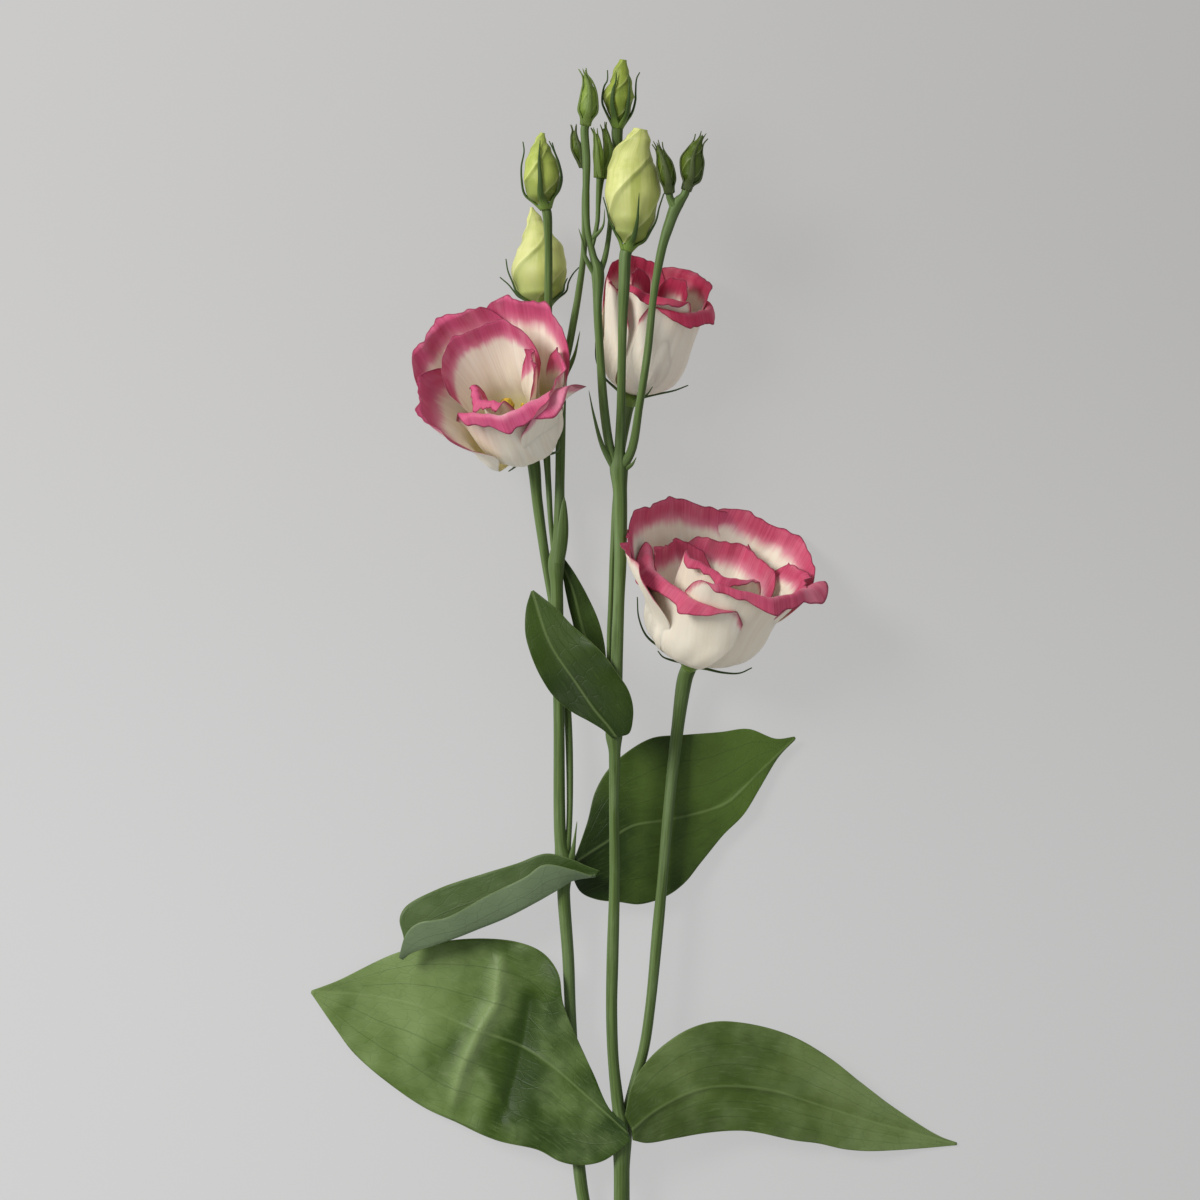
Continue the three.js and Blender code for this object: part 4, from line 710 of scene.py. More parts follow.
def leaf_finish(name, dark, mid, haze_and_highlight_colour, haze=0.3, under=None):
    """Green, darker in random patches and, as painted shade, towards the base and in the hollows, with a
    grey haze in patches and, in the same colour, a painted highlight on the ridges, a pale midrib,
    darker side veins that run to the tip, a pale line along the edge, and a fine dark network between
    the veins. Where a leaf is folded over, under is the colour of its lower half, a painted sheen where
    that half faces the light."""
    finish = Finish(
        name, Subsurface_Weight=0.05, Subsurface_Scale=0.001, Subsurface_Radius=(0.6, 1.0, 0.3),
        Specular_IOR_Level=0.22)
    place = finish.place()
    across = finish.mark("across")
    share = finish.mark("share")
    along = finish.mark("along")
    reach = finish.mark("reach")
    ridge = finish.mark("ridge")
    bend = finish.noise(place, 60.0, 2.0)
    patches = finish.noise(place, 34.0, 3.0, 0.5)
    cloud = finish.noise(place, 90.0, 3.0, 0.5)
    grain = finish.streaks(across * 1.1, along * 0.14, 0.0, 3.0, 0.65)
    network = finish.node(
        "ShaderNodeTexVoronoi", {"feature": "DISTANCE_TO_EDGE"},
        {"Vector": finish.spot(across + bend * 2.5, along * 0.55 + bend * 3.0), "Scale": 0.34})
    crack = finish.between(network, 0.055, 0.0)
    middle = finish.between(across.size(), 0.75, 0.15)
    spread = share.size() * 3.0 + (bend - 0.5) * 0.25
    veins = finish.between((spread * np.pi).sine().size(), 0.13, 0.0)
    side = veins * finish.between(share.size(), 0.15, 0.3)
    # Darker at random in patches, and towards the base, where reach is low, as painted shade.
    green = finish.mix(finish.between(patches + reach * 0.45, 0.4, 1.0), dark, mid)
    # Painted sheen: the lower half of a folded leaf is paler where it faces the light.
    if under:
        green = finish.mix(finish.between(share + (cloud - 0.5) * 0.1, 0.06, -0.06), green, under)
    # A haze in patches and towards the tip, with a painted highlight added on the ridges.
    haze_and_ridge_highlight = finish.between(cloud * 0.6 + patches * 0.6 + reach * 0.35 + ridge * 0.1, 0.55, 1.05)
    finish.colour(finish.coats(
        green,
        (haze_and_ridge_highlight * haze, haze_and_highlight_colour),
        (finish.between(grain, 0.5, 0.8) * 0.25, haze_and_highlight_colour),
        # Painted highlight on the ridges and painted shade in the hollows, both by the crease height.
        (finish.between(ridge, 0.6, 2.8) * 0.5, haze_and_highlight_colour),
        (finish.between(ridge, -0.3, -2.6) * 0.65, tint(32, 54, 6)),
        (crack * 0.09, tint(26, 42, 10)),
        (side * 0.28, tint(44, 62, 24)),
        (middle * 0.3, tint(124, 144, 88)),
        (finish.between(share.size(), 0.98, 1.0) * 0.4, tint(124, 142, 84))))
    finish.roughness(0.36 + 0.22 * patches)
    finish.relief(grain * 0.2 + middle * 0.4 + side * 0.3 - crack * 0.2, 0.35, 0.5)
    return finish


def stem_finish():
    """Grey-green with fine lengthwise streaks, a grey haze in patches, painted shade on its right side
    and a painted highlight on its left, where round_x is high."""
    finish = Finish("stem_green", Specular_IOR_Level=0.25)
    x = finish.mark("round_x")
    y = finish.mark("round_y")
    along = finish.mark("along")
    streaks = finish.streaks(x * 2.4, y * 2.4, along * 0.03)
    patches = finish.streaks(x * 0.5, y * 0.5, along * 0.045)
    finish.colour(finish.coats(
        tint(64, 84, 32),
        (finish.between(streaks, 0.32, 0.7), tint(98, 120, 64)),
        (finish.between(patches, 0.42, 0.75) * 0.5, tint(118, 138, 94)),
        # Painted shade on the right side, where round_x is low, and a painted highlight on the left,
        # where it is high.
        (finish.between(x, 0.2, -0.9) * 0.5, tint(48, 66, 26)),
        (finish.between(x, 0.3, 1.0) * 0.35, tint(122, 144, 100))))
    finish.roughness(0.46 + 0.16 * patches)
    finish.relief(streaks, 0.2, 0.5)
    return finish


def sepal_finish(name, dark, light):
    """Green, lighter at the root, with fine lengthwise streaks."""
    finish = Finish(name, Specular_IOR_Level=0.25)
    x = finish.mark("round_x")
    y = finish.mark("round_y")
    streaks = finish.streaks(x * 2.0, y * 2.0, finish.mark("along") * 0.1, 2.0)
    share = finish.mark("share")
    away = finish.between(share + (streaks - 0.5) * 0.5, 0.0, 0.45)
    finish.colour(finish.mix(away, light, dark))
    finish.roughness(0.5 + 0.1 * streaks)
    finish.relief(streaks, 0.12, 0.5)
    return finish


def bud_finish(name, pale, green, deep):
    """Pale petals rolled in a spiral: green streaks and clouds, deeper green that rises from the cup,
    green as painted shade on the right side and deep green as painted shade in the folds, a light line
    along each fold's edge as a painted highlight, and the deepest green on the sepals of a closed bud."""
    finish = Finish(
        name, Subsurface_Weight=0.15, Subsurface_Scale=0.0012, Subsurface_Radius=(0.8, 1.0, 0.4),
        Specular_IOR_Level=0.3)
    fold = finish.mark("fold")
    share = finish.mark("share")
    x = finish.mark("round_x")
    y = finish.mark("round_y")
    streaks = finish.streaks(x * 3.2, y * 3.2, share * 1.6)
    cloud = finish.noise(finish.place(), 160.0, 3.0, 0.55)
    foot = finish.between(share + (streaks - 0.5) * 0.3, 0.45, 0.02)
    shaded = finish.between(x + (streaks - 0.5) * 0.5, -0.5, 0.9)
    finish.colour(finish.coats(
        pale,
        (finish.between(streaks, 0.35, 0.75) * 0.7, green),
        (finish.between(cloud, 0.45, 0.75) * 0.4, green),
        # Painted shade on the right side.
        (shaded * 0.5, green),
        (foot * 0.75, deep),
        # Painted shade deep in each fold, next to the edge of the petal over it, and a painted highlight
        # along that edge.
        (finish.between(fold, 0.5, 0.97) * 0.32, deep),
        (finish.between(fold, 0.12, 0.0) * 0.22, tint(236, 236, 180)),
        (finish.mark("sepal") * 0.8, deep)))
    finish.roughness(0.48 + 0.12 * streaks)
    finish.relief(streaks, 0.2, 0.45)
    return finish


def stamen_finish():
    """Olive-yellow pistil and pollen, mottled."""
    finish = Finish("pollen_yellow", Specular_IOR_Level=0.3)
    grain = finish.noise(finish.place(), 900.0, 2.0)
    finish.colour(finish.mix(
        finish.between(grain, 0.35, 0.65), tint(150, 138, 40), tint(222, 184, 56)))
    finish.roughness(0.6 + 0.1 * grain)
    finish.relief(grain, 0.2, 0.6)
    return finish


FINISHES = {
    "stem": stem_finish(),
    "leaf_1": leaf_finish("leaf_broad", tint(30, 54, 2), tint(80, 106, 34), tint(130, 150, 96), 0.66),
    "leaf_2": leaf_finish("leaf_right", tint(54, 74, 20), tint(90, 110, 48), tint(128, 146, 98), 0.55),
    # The last colour is a painted sheen on the lower half of the folded leaf.
    "leaf_3": leaf_finish(
        "leaf_folded", tint(48, 70, 22), tint(76, 98, 44), tint(118, 136, 100), 0.35,
        tint(104, 122, 90)),
    "leaf_4": leaf_finish("leaf_behind", tint(26, 44, 2), tint(64, 88, 22), tint(92, 114, 54)),
    "leaf_5": leaf_finish("leaf_hanging", tint(38, 56, 10), tint(52, 74, 18), tint(84, 104, 54)),
    "leaf_6": leaf_finish("leaf_front", tint(30, 48, 2), tint(46, 68, 6), tint(70, 94, 30), 0.2),
    "bloom_1": petal_finish(
        "petal_bright_pink", tint(210, 98, 136), tint(190, 70, 112), tint(234, 170, 186),
        tint(246, 238, 222), 6.4),
    "bloom_2": petal_finish(
        "petal_crimson_rose", tint(200, 64, 100), tint(168, 34, 70), tint(226, 146, 160),
        tint(240, 230, 214), 5.6),
    "bloom_3": petal_finish(
        "petal_dusty_rose", tint(208, 92, 124), tint(176, 54, 88), tint(228, 160, 174),
        tint(236, 226, 208), 6.0),
    "calyx": sepal_finish("sepal_green", tint(58, 80, 36), tint(110, 136, 60)),
    "stamens": stamen_finish(),
    "bud_e": bud_finish("bud_pale", tint(216, 216, 148), tint(184, 192, 100), tint(112, 134, 44)),
    "bud_g": bud_finish("bud_cream", tint(214, 216, 142), tint(158, 168, 70), tint(86, 106, 28)),
    "bud_d": bud_finish("bud_lime", tint(190, 200, 104), tint(138, 156, 62), tint(76, 98, 34)),
    "bud_f": bud_finish("bud_leafy", tint(150, 164, 66), tint(112, 132, 46), tint(64, 86, 28)),
    "bright_bud": bud_finish("bud_fresh", tint(128, 150, 62), tint(96, 120, 38), tint(84, 108, 36)),
    "green_bud": bud_finish("bud_green", tint(80, 98, 18), tint(58, 78, 12), tint(42, 60, 10)),
}


# Stems, sepals and bracts

def ring_axes(along, lead=(0.0, 0.0, 1.0)):
    """Two directions square to a path: one square to the lead direction, and the one left over."""
    side = unit(np.cross(np.broadcast_to(lead, along.shape), along))
    return side, np.cross(along, side)


def ring_points(centre, axes, out, rise):
    """centre + out * side + rise * over, for each row along a path and each column round it."""
    side, over = axes
    return centre[:, None] + out[..., None] * side[:, None] + rise[..., None] * over[:, None]


def add_stem(shell, points, sides=18, step=2.0):
    """A round tube: centre + radius * (side * cos + over * sin), with five soft ridges and never below
    the floor. Each stem's streaks start elsewhere."""
    path = Path(points)
    t = np.linspace(0, 1, max(8, int(path.length / step)))
    turn = np.linspace(0, 2 * np.pi, sides, endpoint=False)
    cos, sin = np.cos(turn), np.sin(turn)
    radius = path.radius(t)[:, None] * (1 + 0.025 * np.sin(5 * turn))
    rings = ring_points(path.at(t), ring_axes(path.tangent(t)), radius * cos, radius * sin)
    rings[..., 2] = np.maximum(rings[..., 2], 0)
    travelled = np.interp(t, path.steps, path.travelled)[:, None]
    start = STREAK_SHIFT * points[0][0]
    shell.tube(rings, {"round_x": cos, "round_y": sin, "along": travelled + start})


def bract_shape(t):
    """Half width of a small leaf along its length, as a share: 0.6 + 1.6t - 2.05t^2."""
    return 0.6 + 1.6 * t - 2.05 * t * t


def sepal_shape(t):
    """Half width of a sepal, as a share: 0.12 + 0.9(1 - t)^1.4, drawn out to a thread."""
    return 0.12 + 0.9 * (1 - t) ** 1.4


def add_strap(shell, points, width, facing, shape, rows=28, sides=10):
    """A pointed strap along a curve with an oval section: its half width is width / 2 * shape(t), less
    at the very tip, its half depth falls from SEPAL_THICKNESS / 2 to 0.4 of that, and its outside has a
    keel."""
    curve = Curve(points)
    t = np.linspace(0, 1, rows)
    half = (width / 2) * shape(t) * (1 - smoothstep(t, 0.93, 1.0) * 0.6)
    depth = (SEPAL_THICKNESS / 2) * (1 - 0.6 * t)
    turn = np.linspace(0, 2 * np.pi, sides, endpoint=False)
    cos, sin = np.cos(turn), np.sin(turn)
    keel = 1 + 0.35 * np.maximum(sin, 0) ** 6
    axes = ring_axes(curve.tangent(t), facing)
    rings = ring_points(curve.at(t), axes, half[:, None] * cos, depth[:, None] * sin * keel)
    share = t[:, None]
    marks = {"round_x": cos, "round_y": sin, "along": share * curve.length, "share": share, "sepal": 1}
    shell.tube(rings, marks)


def stalk_end(name, radius):
    """The last two points of a stalk, in line with its bloom or bud, the last just inside its cup."""
    if name in BLOOMS:
        foot, axis = np.array(BLOOMS[name]["base"], float), bloom_axes(BLOOMS[name])[0]
        cup, straight = BLOOM_CUP + GAP, 3.5
    else:
        path = Path(BUDS[name][0])
        foot, axis = path.at(0.0), path.tangent(0.0)
        cup, straight = BUD_CUP + GAP, 1.6
    backs = (cup + straight, cup - 0.6)
    return [(*(foot - back * axis), radius) for back in backs]


def make_stem():
    """All stems with their stalks, and the bracts at the nodes."""
    shell = Shell("round_x", "round_y", "along")
    for points, carries, radius in STEMS:
        add_stem(shell, [*points, *stalk_end(carries, radius)])
    for points, width, facing in BRACTS:
        shape = bract_shape if width > LEAFY_BRACT else sepal_shape
        add_strap(shell, points, width, np.array(facing, float), shape)
    shell.piece("stem_surface", FINISHES["stem"], "stem", "stem")


# Leaves

def distance_to_line(x, y, line):
    """Distance from each point (x, y) to the nearest stretch of a line through points."""
    nearest = np.full(x.shape, np.inf)
    for (ax, ay), (bx, by) in zip(line[:-1], line[1:]):
        dx, dy = bx - ax, by - ay
        share = np.clip(((x - ax) * dx + (y - ay) * dy) / (dx * dx + dy * dy), 0, 1)
        nearest = np.minimum(nearest, np.hypot(x - ax - share * dx, y - ay - share * dy))
    return nearest


def leaf_points(leaf, u, v):
    """From the middle rail the surface runs out to each edge rail, in straight lines or, in a folded
    leaf, round the fold in an arc. Waves grow with the square of u towards the edges."""
    low, mid, high = (Curve(leaf[rail]).even(v) for rail in ("lower", "middle", "upper"))
    bow = (u * u if "folded" in leaf else np.abs(u))[..., None]
    turn = u[..., None]
    points = mid * (1 - bow) + low * (bow - turn) / 2 + high * (bow + turn) / 2
    phase = np.where(u < 0, 0, 1.7)
    waves = np.sin(2 * np.pi * leaf["waves"] * v + phase) * u * u
    waves += 0.35 * np.sin(2 * np.pi * 3.3 * leaf["waves"] * v + 2 * phase) * u ** 4
    points[..., 2] += leaf["wave"] * waves * np.sin(np.pi * v)
    return points


def crease_height(leaf, points, u, v):
    """The sum of ridges and hollows, each top * exp(-(distance to its line / half width)^1.3), which
    fade out at the leaf's edges and ends."""
    height = np.zeros(u.shape)
    for line, top, wide in leaf["creases"]:
        away = distance_to_line(points[..., 0], points[..., 1], line)
        height += top * np.exp(-(away / wide) ** 1.3)
    return height * (1 - u ** 4) * np.sin(np.pi * v)


def make_leaf(name, leaf, across=56, along=120):
    """The leaf's surface with its creases, kept above the floor, as a skin that thins towards the edges
    and the tip. Along the middle it swells into a midrib, 0.5 * exp(-(distance / 0.9)^2), that ends
    before the tip."""
    v, u = np.meshgrid(np.linspace(0, 1, along), np.linspace(-1, 1, across), indexing="ij")
    points = leaf_points(leaf, u, v)
    ridge = crease_height(leaf, points, u, v)
    wide = np.linalg.norm(points - leaf_points(leaf, 0 * u, v), axis=-1)
    points[..., 2] = np.maximum(points[..., 2] + ridge, LEAF_THICKNESS / 2)
    midrib = 0.5 * np.exp(-(wide / 0.9) ** 2) * np.sin(np.pi * np.minimum(v + 0.2, 1)) ** 0.5
    thickness = (LEAF_THICKNESS - THINNER) * (1 - 0.55 * u ** 8) * (1 - 0.5 * v ** 6) + midrib
    marks = {
        "across": np.sign(u) * wide, "share": u, "along": v * Curve(leaf["middle"]).length,
        "reach": v, "ridge": ridge,
    }
    shell = Shell("across", "share", "along", "reach", "ridge")
    shell.blade(points, thickness, marks)
    shell.piece(f"{name}_blade", FINISHES[name], "leaf", name)


# Blooms

def bloom_axes(bloom):
    """The bloom's axis, a direction to its right and one to its back, all square to each other."""
    axis = unit(np.array(bloom["mouth"], float) - np.array(bloom["base"], float))
    right = unit(np.array([1.0, 0, 0]) - axis[0] * axis)
    return axis, right, np.cross(axis, right)


def bloom_place(bloom, side, out, up):
    """base + axis * up + right * out * cos(side) + back * out * sin(side)."""
    axis, right, back = bloom_axes(bloom)
    turn = np.radians(np.asarray(side, float))
    out = np.asarray(out, float)
    return (np.array(bloom["base"], float) + np.asarray(up, float)[..., None] * axis
            + (out * np.cos(turn))[..., None] * right + (out * np.sin(turn))[..., None] * back)


def petal_section(petal, s, offset):
    """Distance from the axis and height of a petal at the share s of its length, moved outwards by
    offset: it leaves the root flat, turns up into the wall of the body by a sine, widens to the crest
    and rolls over at the lip in an arc, the further the longer the lip is, then runs on straight."""
    _, _, body, rim, height, lip, _ = petal
    crest = 1 - lip / (PETAL_LENGTH * height)
    wall = np.minimum(s, crest)
    belly = np.sin(np.pi / 2 * np.minimum(1, wall / 0.55)) ** 0.8
    past = PETAL_LENGTH * height * (s - wall)
    turn = np.minimum(past / LIP_BEND, np.radians(min(LIP_MOST, LIP_TURN * lip)))
    straight = past - LIP_BEND * turn
    away = offset * smoothstep(s, 0, 0.3)
    out = (ROOT_RADIUS + (body - ROOT_RADIUS) * belly + (rim - body) * smoothstep(wall, 0.5, 1.02)
           + LIP_BEND * (1 - np.cos(turn)) + straight * np.sin(turn) + OFF_OUT * away)
    up = (ROOT_HEIGHT + height * (0.3 * wall + 0.7 * wall ** 1.6)
          + LIP_BEND * np.sin(turn) + straight * np.cos(turn) + OFF_UP * away)
    return out, up


def petal_share(u, v, ruffle, phase):
    """Share of a petal's length at each point: v, less 0.05u^2 + 0.16u^6 of it, so that the tip is
    rounded, and waved near the tip by a sine for the scallops and two fine ones for the teeth."""
    teeth = 0.004 * (np.sin(27 * u + phase) + 0.6 * np.sin(41 * u + 1.7 * phase))
    scallops = 0.012 * np.sin(9 * u + phase)
    edge = 1 + ruffle * (teeth * smoothstep(v, 0.85, 1) + scallops * smoothstep(v, 0.6, 1))
    return v * (1 - 0.05 * u * u - 0.16 * u ** 6) * edge


def petal_ruffles(u, s, ruffle, phase):
    """Three sines across the petal, which grow with the fifth, seventh and tenth powers of s."""
    return ruffle * (
        0.9 * s ** 5 * np.sin(2 * np.pi * 1.25 * u + phase)
        + 0.5 * s ** 7 * np.sin(2 * np.pi * 2.9 * u + 1.9 * phase)
        + 0.14 * s ** 10 * np.sin(2 * np.pi * 6.3 * u + 1.3 * phase))


def petal_ribs(u, s, phase):
    """Two sines across the petal, slanted by s, which fade out at the root and the tip."""
    return np.sin(np.pi * s) * (0.3 * np.sin(7 * u + 5 * s + phase) + 0.1 * np.sin(19 * u - 3 * s))


def petal_rim(u, v, s, height, half):
    """Distance to the free edge: the smaller one of those to the top and to the side, rounded where
    they meet: -corner * log(exp(-top / corner) + exp(-side / corner))."""
    from_top = (1 - v) * height * 1.12
    from_side = (1 - np.abs(u)) * half * 1.3 + np.maximum(0, 0.8 - s) * 60
    near = np.exp(-from_top / MARGIN_CORNER) + np.exp(-from_side / MARGIN_CORNER) + 1e-30
    return np.maximum(-MARGIN_CORNER * np.log(near), 0)


def add_petal(shell, bloom, petal, number, across=80, along=56):
    """A petal on the cup: petal_section laid round the axis, from a narrow root that widens by a sine.
    It stands off by its layer, by a slope that puts one edge outside its neighbour's, by ruffles and by
    ribs. Flares push both ends of the rim out with u squared and swing it with u. The distance to the
    free edge is marked over the width of the petal's own margin."""
    side, half_width, _, _, height, _, layer = petal
    phase = 2.1 * number
    v, u = np.meshgrid(np.linspace(0, 1, along) ** 0.62, np.linspace(-1, 1, across), indexing="ij")
    s = petal_share(u, v, bloom["ruffle"], phase)
    waves = layer + PINWHEEL * u + petal_ruffles(u, s, bloom["ruffle"], phase) + petal_ribs(u, s, phase)
    out, up = petal_section(petal, s, waves)
    half = half_width * (0.1 + 0.9 * np.sin(np.pi / 2 * np.minimum(1, s * 1.25)))
    turn = side + np.degrees(u * half / np.maximum(out, half * 0.8))
    both_ends, right_end = bloom["flares"].get(number, (0, 0))
    out = out + (both_ends * u * u + right_end * u) * v ** 8
    points = bloom_place(bloom, turn, out, up)
    points[..., 2] = np.maximum(points[..., 2], PETAL_THICKNESS / 2)
    thickness = (PETAL_THICKNESS - THINNER) * (1 - 0.6 * smoothstep(v, 0.75, 1)) * (1 - 0.6 * u ** 12)
    rim = petal_rim(u, v, s, height, half) / bloom["bands"].get(number, 1)
    marks = {"rim": rim, "across": u * half, "along": v * height, "root": s, "seed": 3.7 * number}
    shell.blade(points, thickness, marks)


def revolve(bloom, profile, sides, swell=0.0, lobes=5, rows=24):
    """A round body from (height, radius) pairs joined by a smooth curve, with shallow lobes."""
    curve = Curve([(up, radius, 0) for up, radius in profile])
    turned = curve.at(np.linspace(0, 1, rows))
    side = np.linspace(0, 360, sides, endpoint=False)
    radius = turned[:, 1:2] * (1 + swell * np.cos(np.radians(lobes * side)))
    return bloom_place(bloom, side, radius, turned[:, :1])


def make_bloom(name, bloom):
    """All petals of a bloom on a small core, which fills the bottom of the cup."""
    shell = Shell("rim", "across", "along", "inner", "seed", "root")
    slimmest = CORE_SHARE * min(petal[2] for petal in bloom["petals"][:OUTER_PETALS])
    core = [
        (GAP, 2.2), (1.6, slimmest * 0.64), (0.8 * CORE_HEIGHT, slimmest),
        (CORE_HEIGHT, slimmest * 0.9),
    ]
    shell.tube(revolve(bloom, core, 40), {"rim": 40.0})
    for number, petal in enumerate(bloom["petals"]):
        add_petal(shell, bloom, petal, number)
    shell.piece(f"{name}_petals", FINISHES[name], "petal", name)


def make_bloom_calyx(name, bloom):
    """A turned cup under the bloom, and sepals that follow the first petal's section outside it."""
    shell = Shell("round_x", "round_y", "along", "share")
    cup = [(-BLOOM_CUP - 0.2, 2.2), (-2.6, 2.9), (-1, 3.9), (0.3, 2.9)]
    shell.tube(revolve(bloom, cup, 40, 0.04), {"share": 0.1})
    for side, reach, off, lift in bloom["sepals"]:
        shares = np.array([0.12, 0.4, 0.7, 1])
        out, up = petal_section(bloom["petals"][0], reach * shares, off - 0.8 + lift * shares ** 2)
        points = bloom_place(bloom, side, out, up - 1.6 * (1 - shares))
        root = bloom_place(bloom, side, 1.6, -1.8)
        facing = bloom_place(bloom, side, 1, 0) - np.array(bloom["base"], float)
        add_strap(shell, [root, *points], BLOOM_SEPAL_WIDTH, facing, sepal_shape)
    shell.piece(f"{name}_cup", FINISHES["calyx"], "calyx", f"{name}_calyx")


def make_stamens(name, bloom):
    """A turned, slightly two-lobed pistil, and five stamens round it with thick ends."""
    shell = Shell()
    foot = CORE_HEIGHT + GAP
    pistil = [
        (foot, 1.8), (foot + 3, 2.5), (foot + 9, 2), (foot + 13, 0.9), (foot + 18, 0.9),
        (foot + 19, 2.2), (foot + 21, 1.6),
    ]
    shell.tube(revolve(bloom, pistil, 20, 0.08, 2, 36), {})
    for turn in range(20, 380, 72):
        profile = [(1.2, 0.8, 0.5), (4.2, 11, 0.45), (4.5, 13, 1.1), (4.8, 16, 0.7)]
        points = [(*bloom_place(bloom, turn, out, foot + up), radius) for out, up, radius in profile]
        add_stem(shell, points, 10, 0.8)
    shell.piece(f"{name}_pistil", FINISHES["stamens"], "stamens", f"{name}_stamens")


# Buds

def bud_place(bud, side, v, offset, fold_depth=0.0):
    """path + radius * (right * cos + back * sin). The radius falls along each spiral fold and rises
    again where the next petal's edge lies over it."""
    path = Path(bud[0])
    side, v = np.broadcast_arrays(np.asarray(side, float), np.asarray(v, float))
    along = path.tangent(v)
    right = unit(np.array([1.0, 0, 0]) - along[..., :1] * along)
    back = np.cross(along, right)
    fold = (BUD_FOLDS * (BUD_TWIST * v - side / 360)) % 1
    sunk = fold * (1 - smoothstep(fold, 0.86, 1)) * np.sin(np.pi * v)
    radius = path.radius(v) * (1 - fold_depth * sunk) + offset
    turn = np.radians(side)
    points = (path.at(v) + (radius * np.cos(turn))[..., None] * right
              + (radius * np.sin(turn))[..., None] * back)
    return points, fold


def add_bud(shell, bud, fold_depth, around=120, along=90):
    """The rolled petals, from base to tip and all round."""
    v = np.linspace(0, 1, along)[:, None]
    side = np.linspace(0, 360, around, endpoint=False)[None]
    points, fold = bud_place(bud, side, v, 0.0, fold_depth)
    turn = np.radians(side)
    shell.tube(points, {"round_x": np.cos(turn), "round_y": np.sin(turn), "share": v, "fold": fold})


def add_bud_cup(shell, bud, gap):
    """A funnel from the stalk to the foot of the bud."""
    path = Path(bud[0])
    foot, along, radius = path.at(0.0), path.tangent(0.0), bud[0][0][3]
    profile = [(BUD_CUP + 0.2, 0.75), (1.1, 0.98), (gap, 1.05)]
    add_stem(shell, [(*(foot - back * along), radius * wide) for back, wide in profile], 24, 0.2)


def add_bud_sepals(shell, bud, sepals, width, off, hair):
    """Sepals that rise from the stalk's end and lie along the bud, their tips lifted off it or run on
    past the bud as spreading hairs."""
    path = Path(bud[0])
    foot, along = path.at(0.0), path.tangent(0.0)
    share = np.array(SEPAL_SHARES)
    for side, reach, lift in sepals:
        points, _ = bud_place(bud, side, reach * share, off + lift * share ** 4)
        outward = unit(bud_place(bud, side, 0.0, 1.0)[0] - foot)
        root = foot - SEPAL_ROOT * along + 0.55 * bud[0][0][3] * outward
        facing = bud_place(bud, side, 0.3, 1.0)[0] - path.at(0.3)
        ends = [points[-1] + hair * (path.tangent(1.0) + 0.22 * outward)] if hair else []
        add_strap(shell, [root, *points, *ends], width, facing, sepal_shape)


def make_opening_bud(name, bud):
    """Rolled petals, and as a piece of its own the cup with its sepals."""
    shell = Shell("round_x", "round_y", "share", "fold")
    add_bud(shell, bud, 0.09)
    shell.piece(f"{name}_petals", FINISHES[name], "bud", name)
    calyx = Shell("round_x", "round_y", "along", "share")
    add_bud_cup(calyx, bud, GAP)
    add_bud_sepals(calyx, bud, bud[1], **BUD_SEPALS)
    calyx.piece(f"{name}_cup", FINISHES["calyx"], "calyx", f"{name}_calyx")


def make_small_bud(name, bud):
    """A closed bud with its cup, and its sepals right round it."""
    shell = Shell("round_x", "round_y", "share", "fold", "sepal")
    add_bud(shell, bud, 0.06, 64, 48)
    add_bud_cup(shell, bud, -1.0)
    add_bud_sepals(shell, bud, bud[1] + BACK_SEPALS, **SMALL_SEPALS)
    finish = FINISHES["bright_bud" if name in BRIGHT_BUDS else "green_bud"]
    shell.piece(f"{name}_whole", finish, "green_bud", name)


# Camera, floor and light

CAMERA_PLACE = (-0.0115, 0.0467, 2.53)
CAMERA_LENS = 225
FLOOR_REACH = 4
FLOOR_HEIGHT = -0.0002
# The floor glows in these colours as painted light: lighter on the left, darker on the right and lighter
# near the lower edge.
FLOOR_LEFT = tint(191, 190, 189)
FLOOR_RIGHT = tint(162, 161, 159)
FLOOR_NEAR = tint(246, 249, 255)
SKY = (0.97, 0.985, 1.0, 1.0)
SKY_STRENGTH = 0.4

# Soft round lights: place in metres, size, power and colour
LIGHTS = {
    "window_left": ((-1.5, 0.9, 1.5), 0.9, 44, (1.0, 0.99, 0.97)),
    "fill_right": ((1.6, -0.6, 1.8), 1.6, 4, (0.96, 0.98, 1.0)),
}


def make_camera():
    """Straight above, in metres: 400 mm across at the height of the flowers."""
    camera = bpy.data.cameras.new("camera")
    camera.sensor_width = 36
    camera.lens = CAMERA_LENS
    camera.clip_end = 20
    view = add_object("camera", camera)
    view.location = CAMERA_PLACE
    bpy.context.scene.camera = view


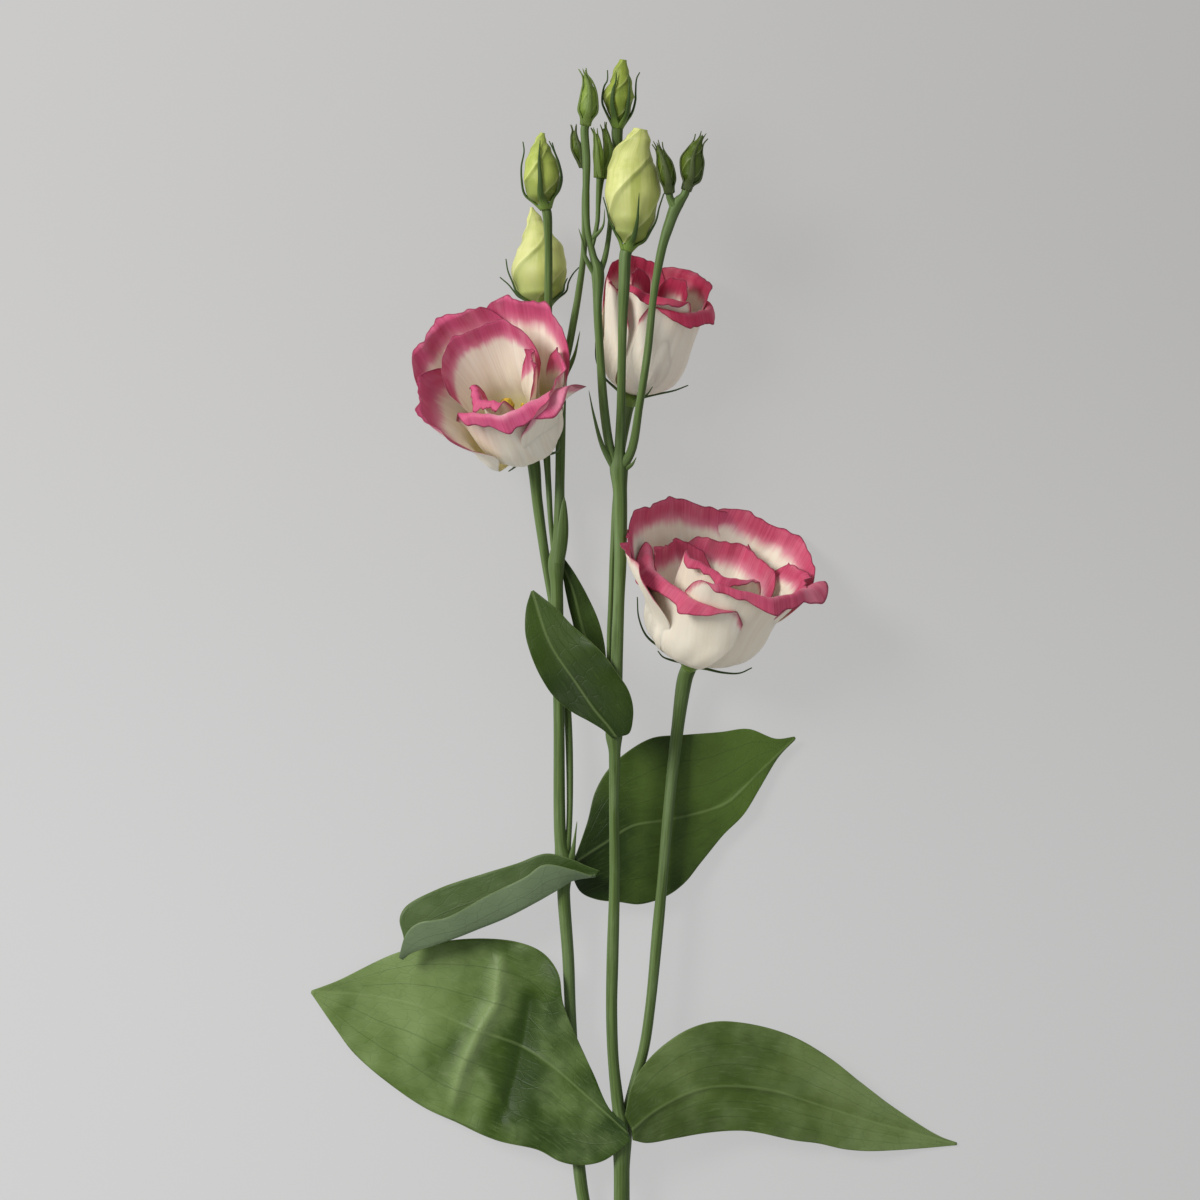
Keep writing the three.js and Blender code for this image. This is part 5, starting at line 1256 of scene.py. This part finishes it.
def make_floor():
    """A pale floor that glows as painted light, lighter on the left and near the lower edge of the
    picture, and gives most of its tone itself, so shadows stay faint."""
    finish = Finish(
        "floor_pale", Base_Color=(0.08, 0.08, 0.08, 1.0), Roughness=0.9, Specular_IOR_Level=0.05,
        Emission_Strength=1.0)
    x, y = (
        finish.node("ShaderNodeSeparateXYZ", inputs={"Vector": finish.place()}, out=axis)
        for axis in (0, 1))
    across = finish.mix(finish.between(x, -0.35, 0.35), FLOOR_LEFT, FLOOR_RIGHT)
    near = finish.between(y, 0.2, -0.1) * 0.12
    # The glow is painted light, mixed from left to right and towards the lower edge.
    finish.plug(finish.shader.inputs["Emission Color"], finish.mix(near, across, FLOOR_NEAR))
    mesh = bpy.data.meshes.new("floor")
    signs = ((-1, -1), (1, -1), (1, 1), (-1, 1))
    corners = [(FLOOR_REACH * right, FLOOR_REACH * up, FLOOR_HEIGHT) for right, up in signs]
    mesh.from_pydata(corners, [], [(0, 1, 2, 3)])
    mesh.materials.append(finish.material)
    floor = add_object("floor", mesh)


def make_light(name, place, size, power, colour):
    """A disk of light that faces the middle of the spray."""
    light = bpy.data.lights.new(name, "AREA")
    light.shape = "DISK"
    light.size = size
    light.energy = power
    light.color = colour
    lamp = add_object(name, light)
    lamp.location = place
    aim = -np.array(place) + np.array([0, 0.05, 0])
    tilt = np.arctan2(np.hypot(aim[0], aim[1]), -aim[2])
    lamp.rotation_euler = (tilt, 0, np.arctan2(aim[1], aim[0]) - np.pi / 2)


def make_studio():
    """Camera, floor, lights and an even sky."""
    make_camera()
    make_floor()
    for name, light in LIGHTS.items():
        make_light(name, *light)
    world = bpy.data.worlds.new("studio")
    world.use_nodes = True
    background = world.node_tree.nodes["Background"]
    background.inputs["Color"].default_value = SKY
    background.inputs["Strength"].default_value = SKY_STRENGTH
    bpy.context.scene.world = world
    bpy.context.scene.view_settings.view_transform = "Standard"


make_studio()
make_stem()
for leaf_name, leaf in LEAVES.items():
    make_leaf(leaf_name, leaf)
for bloom_name, bloom in BLOOMS.items():
    make_bloom(bloom_name, bloom)
    make_bloom_calyx(bloom_name, bloom)
    make_stamens(bloom_name, bloom)
for bud_name, bud in BUDS.items():
    if bud_name in OPENING_BUDS:
        make_opening_bud(bud_name, bud)
    else:
        make_small_bud(bud_name, bud)
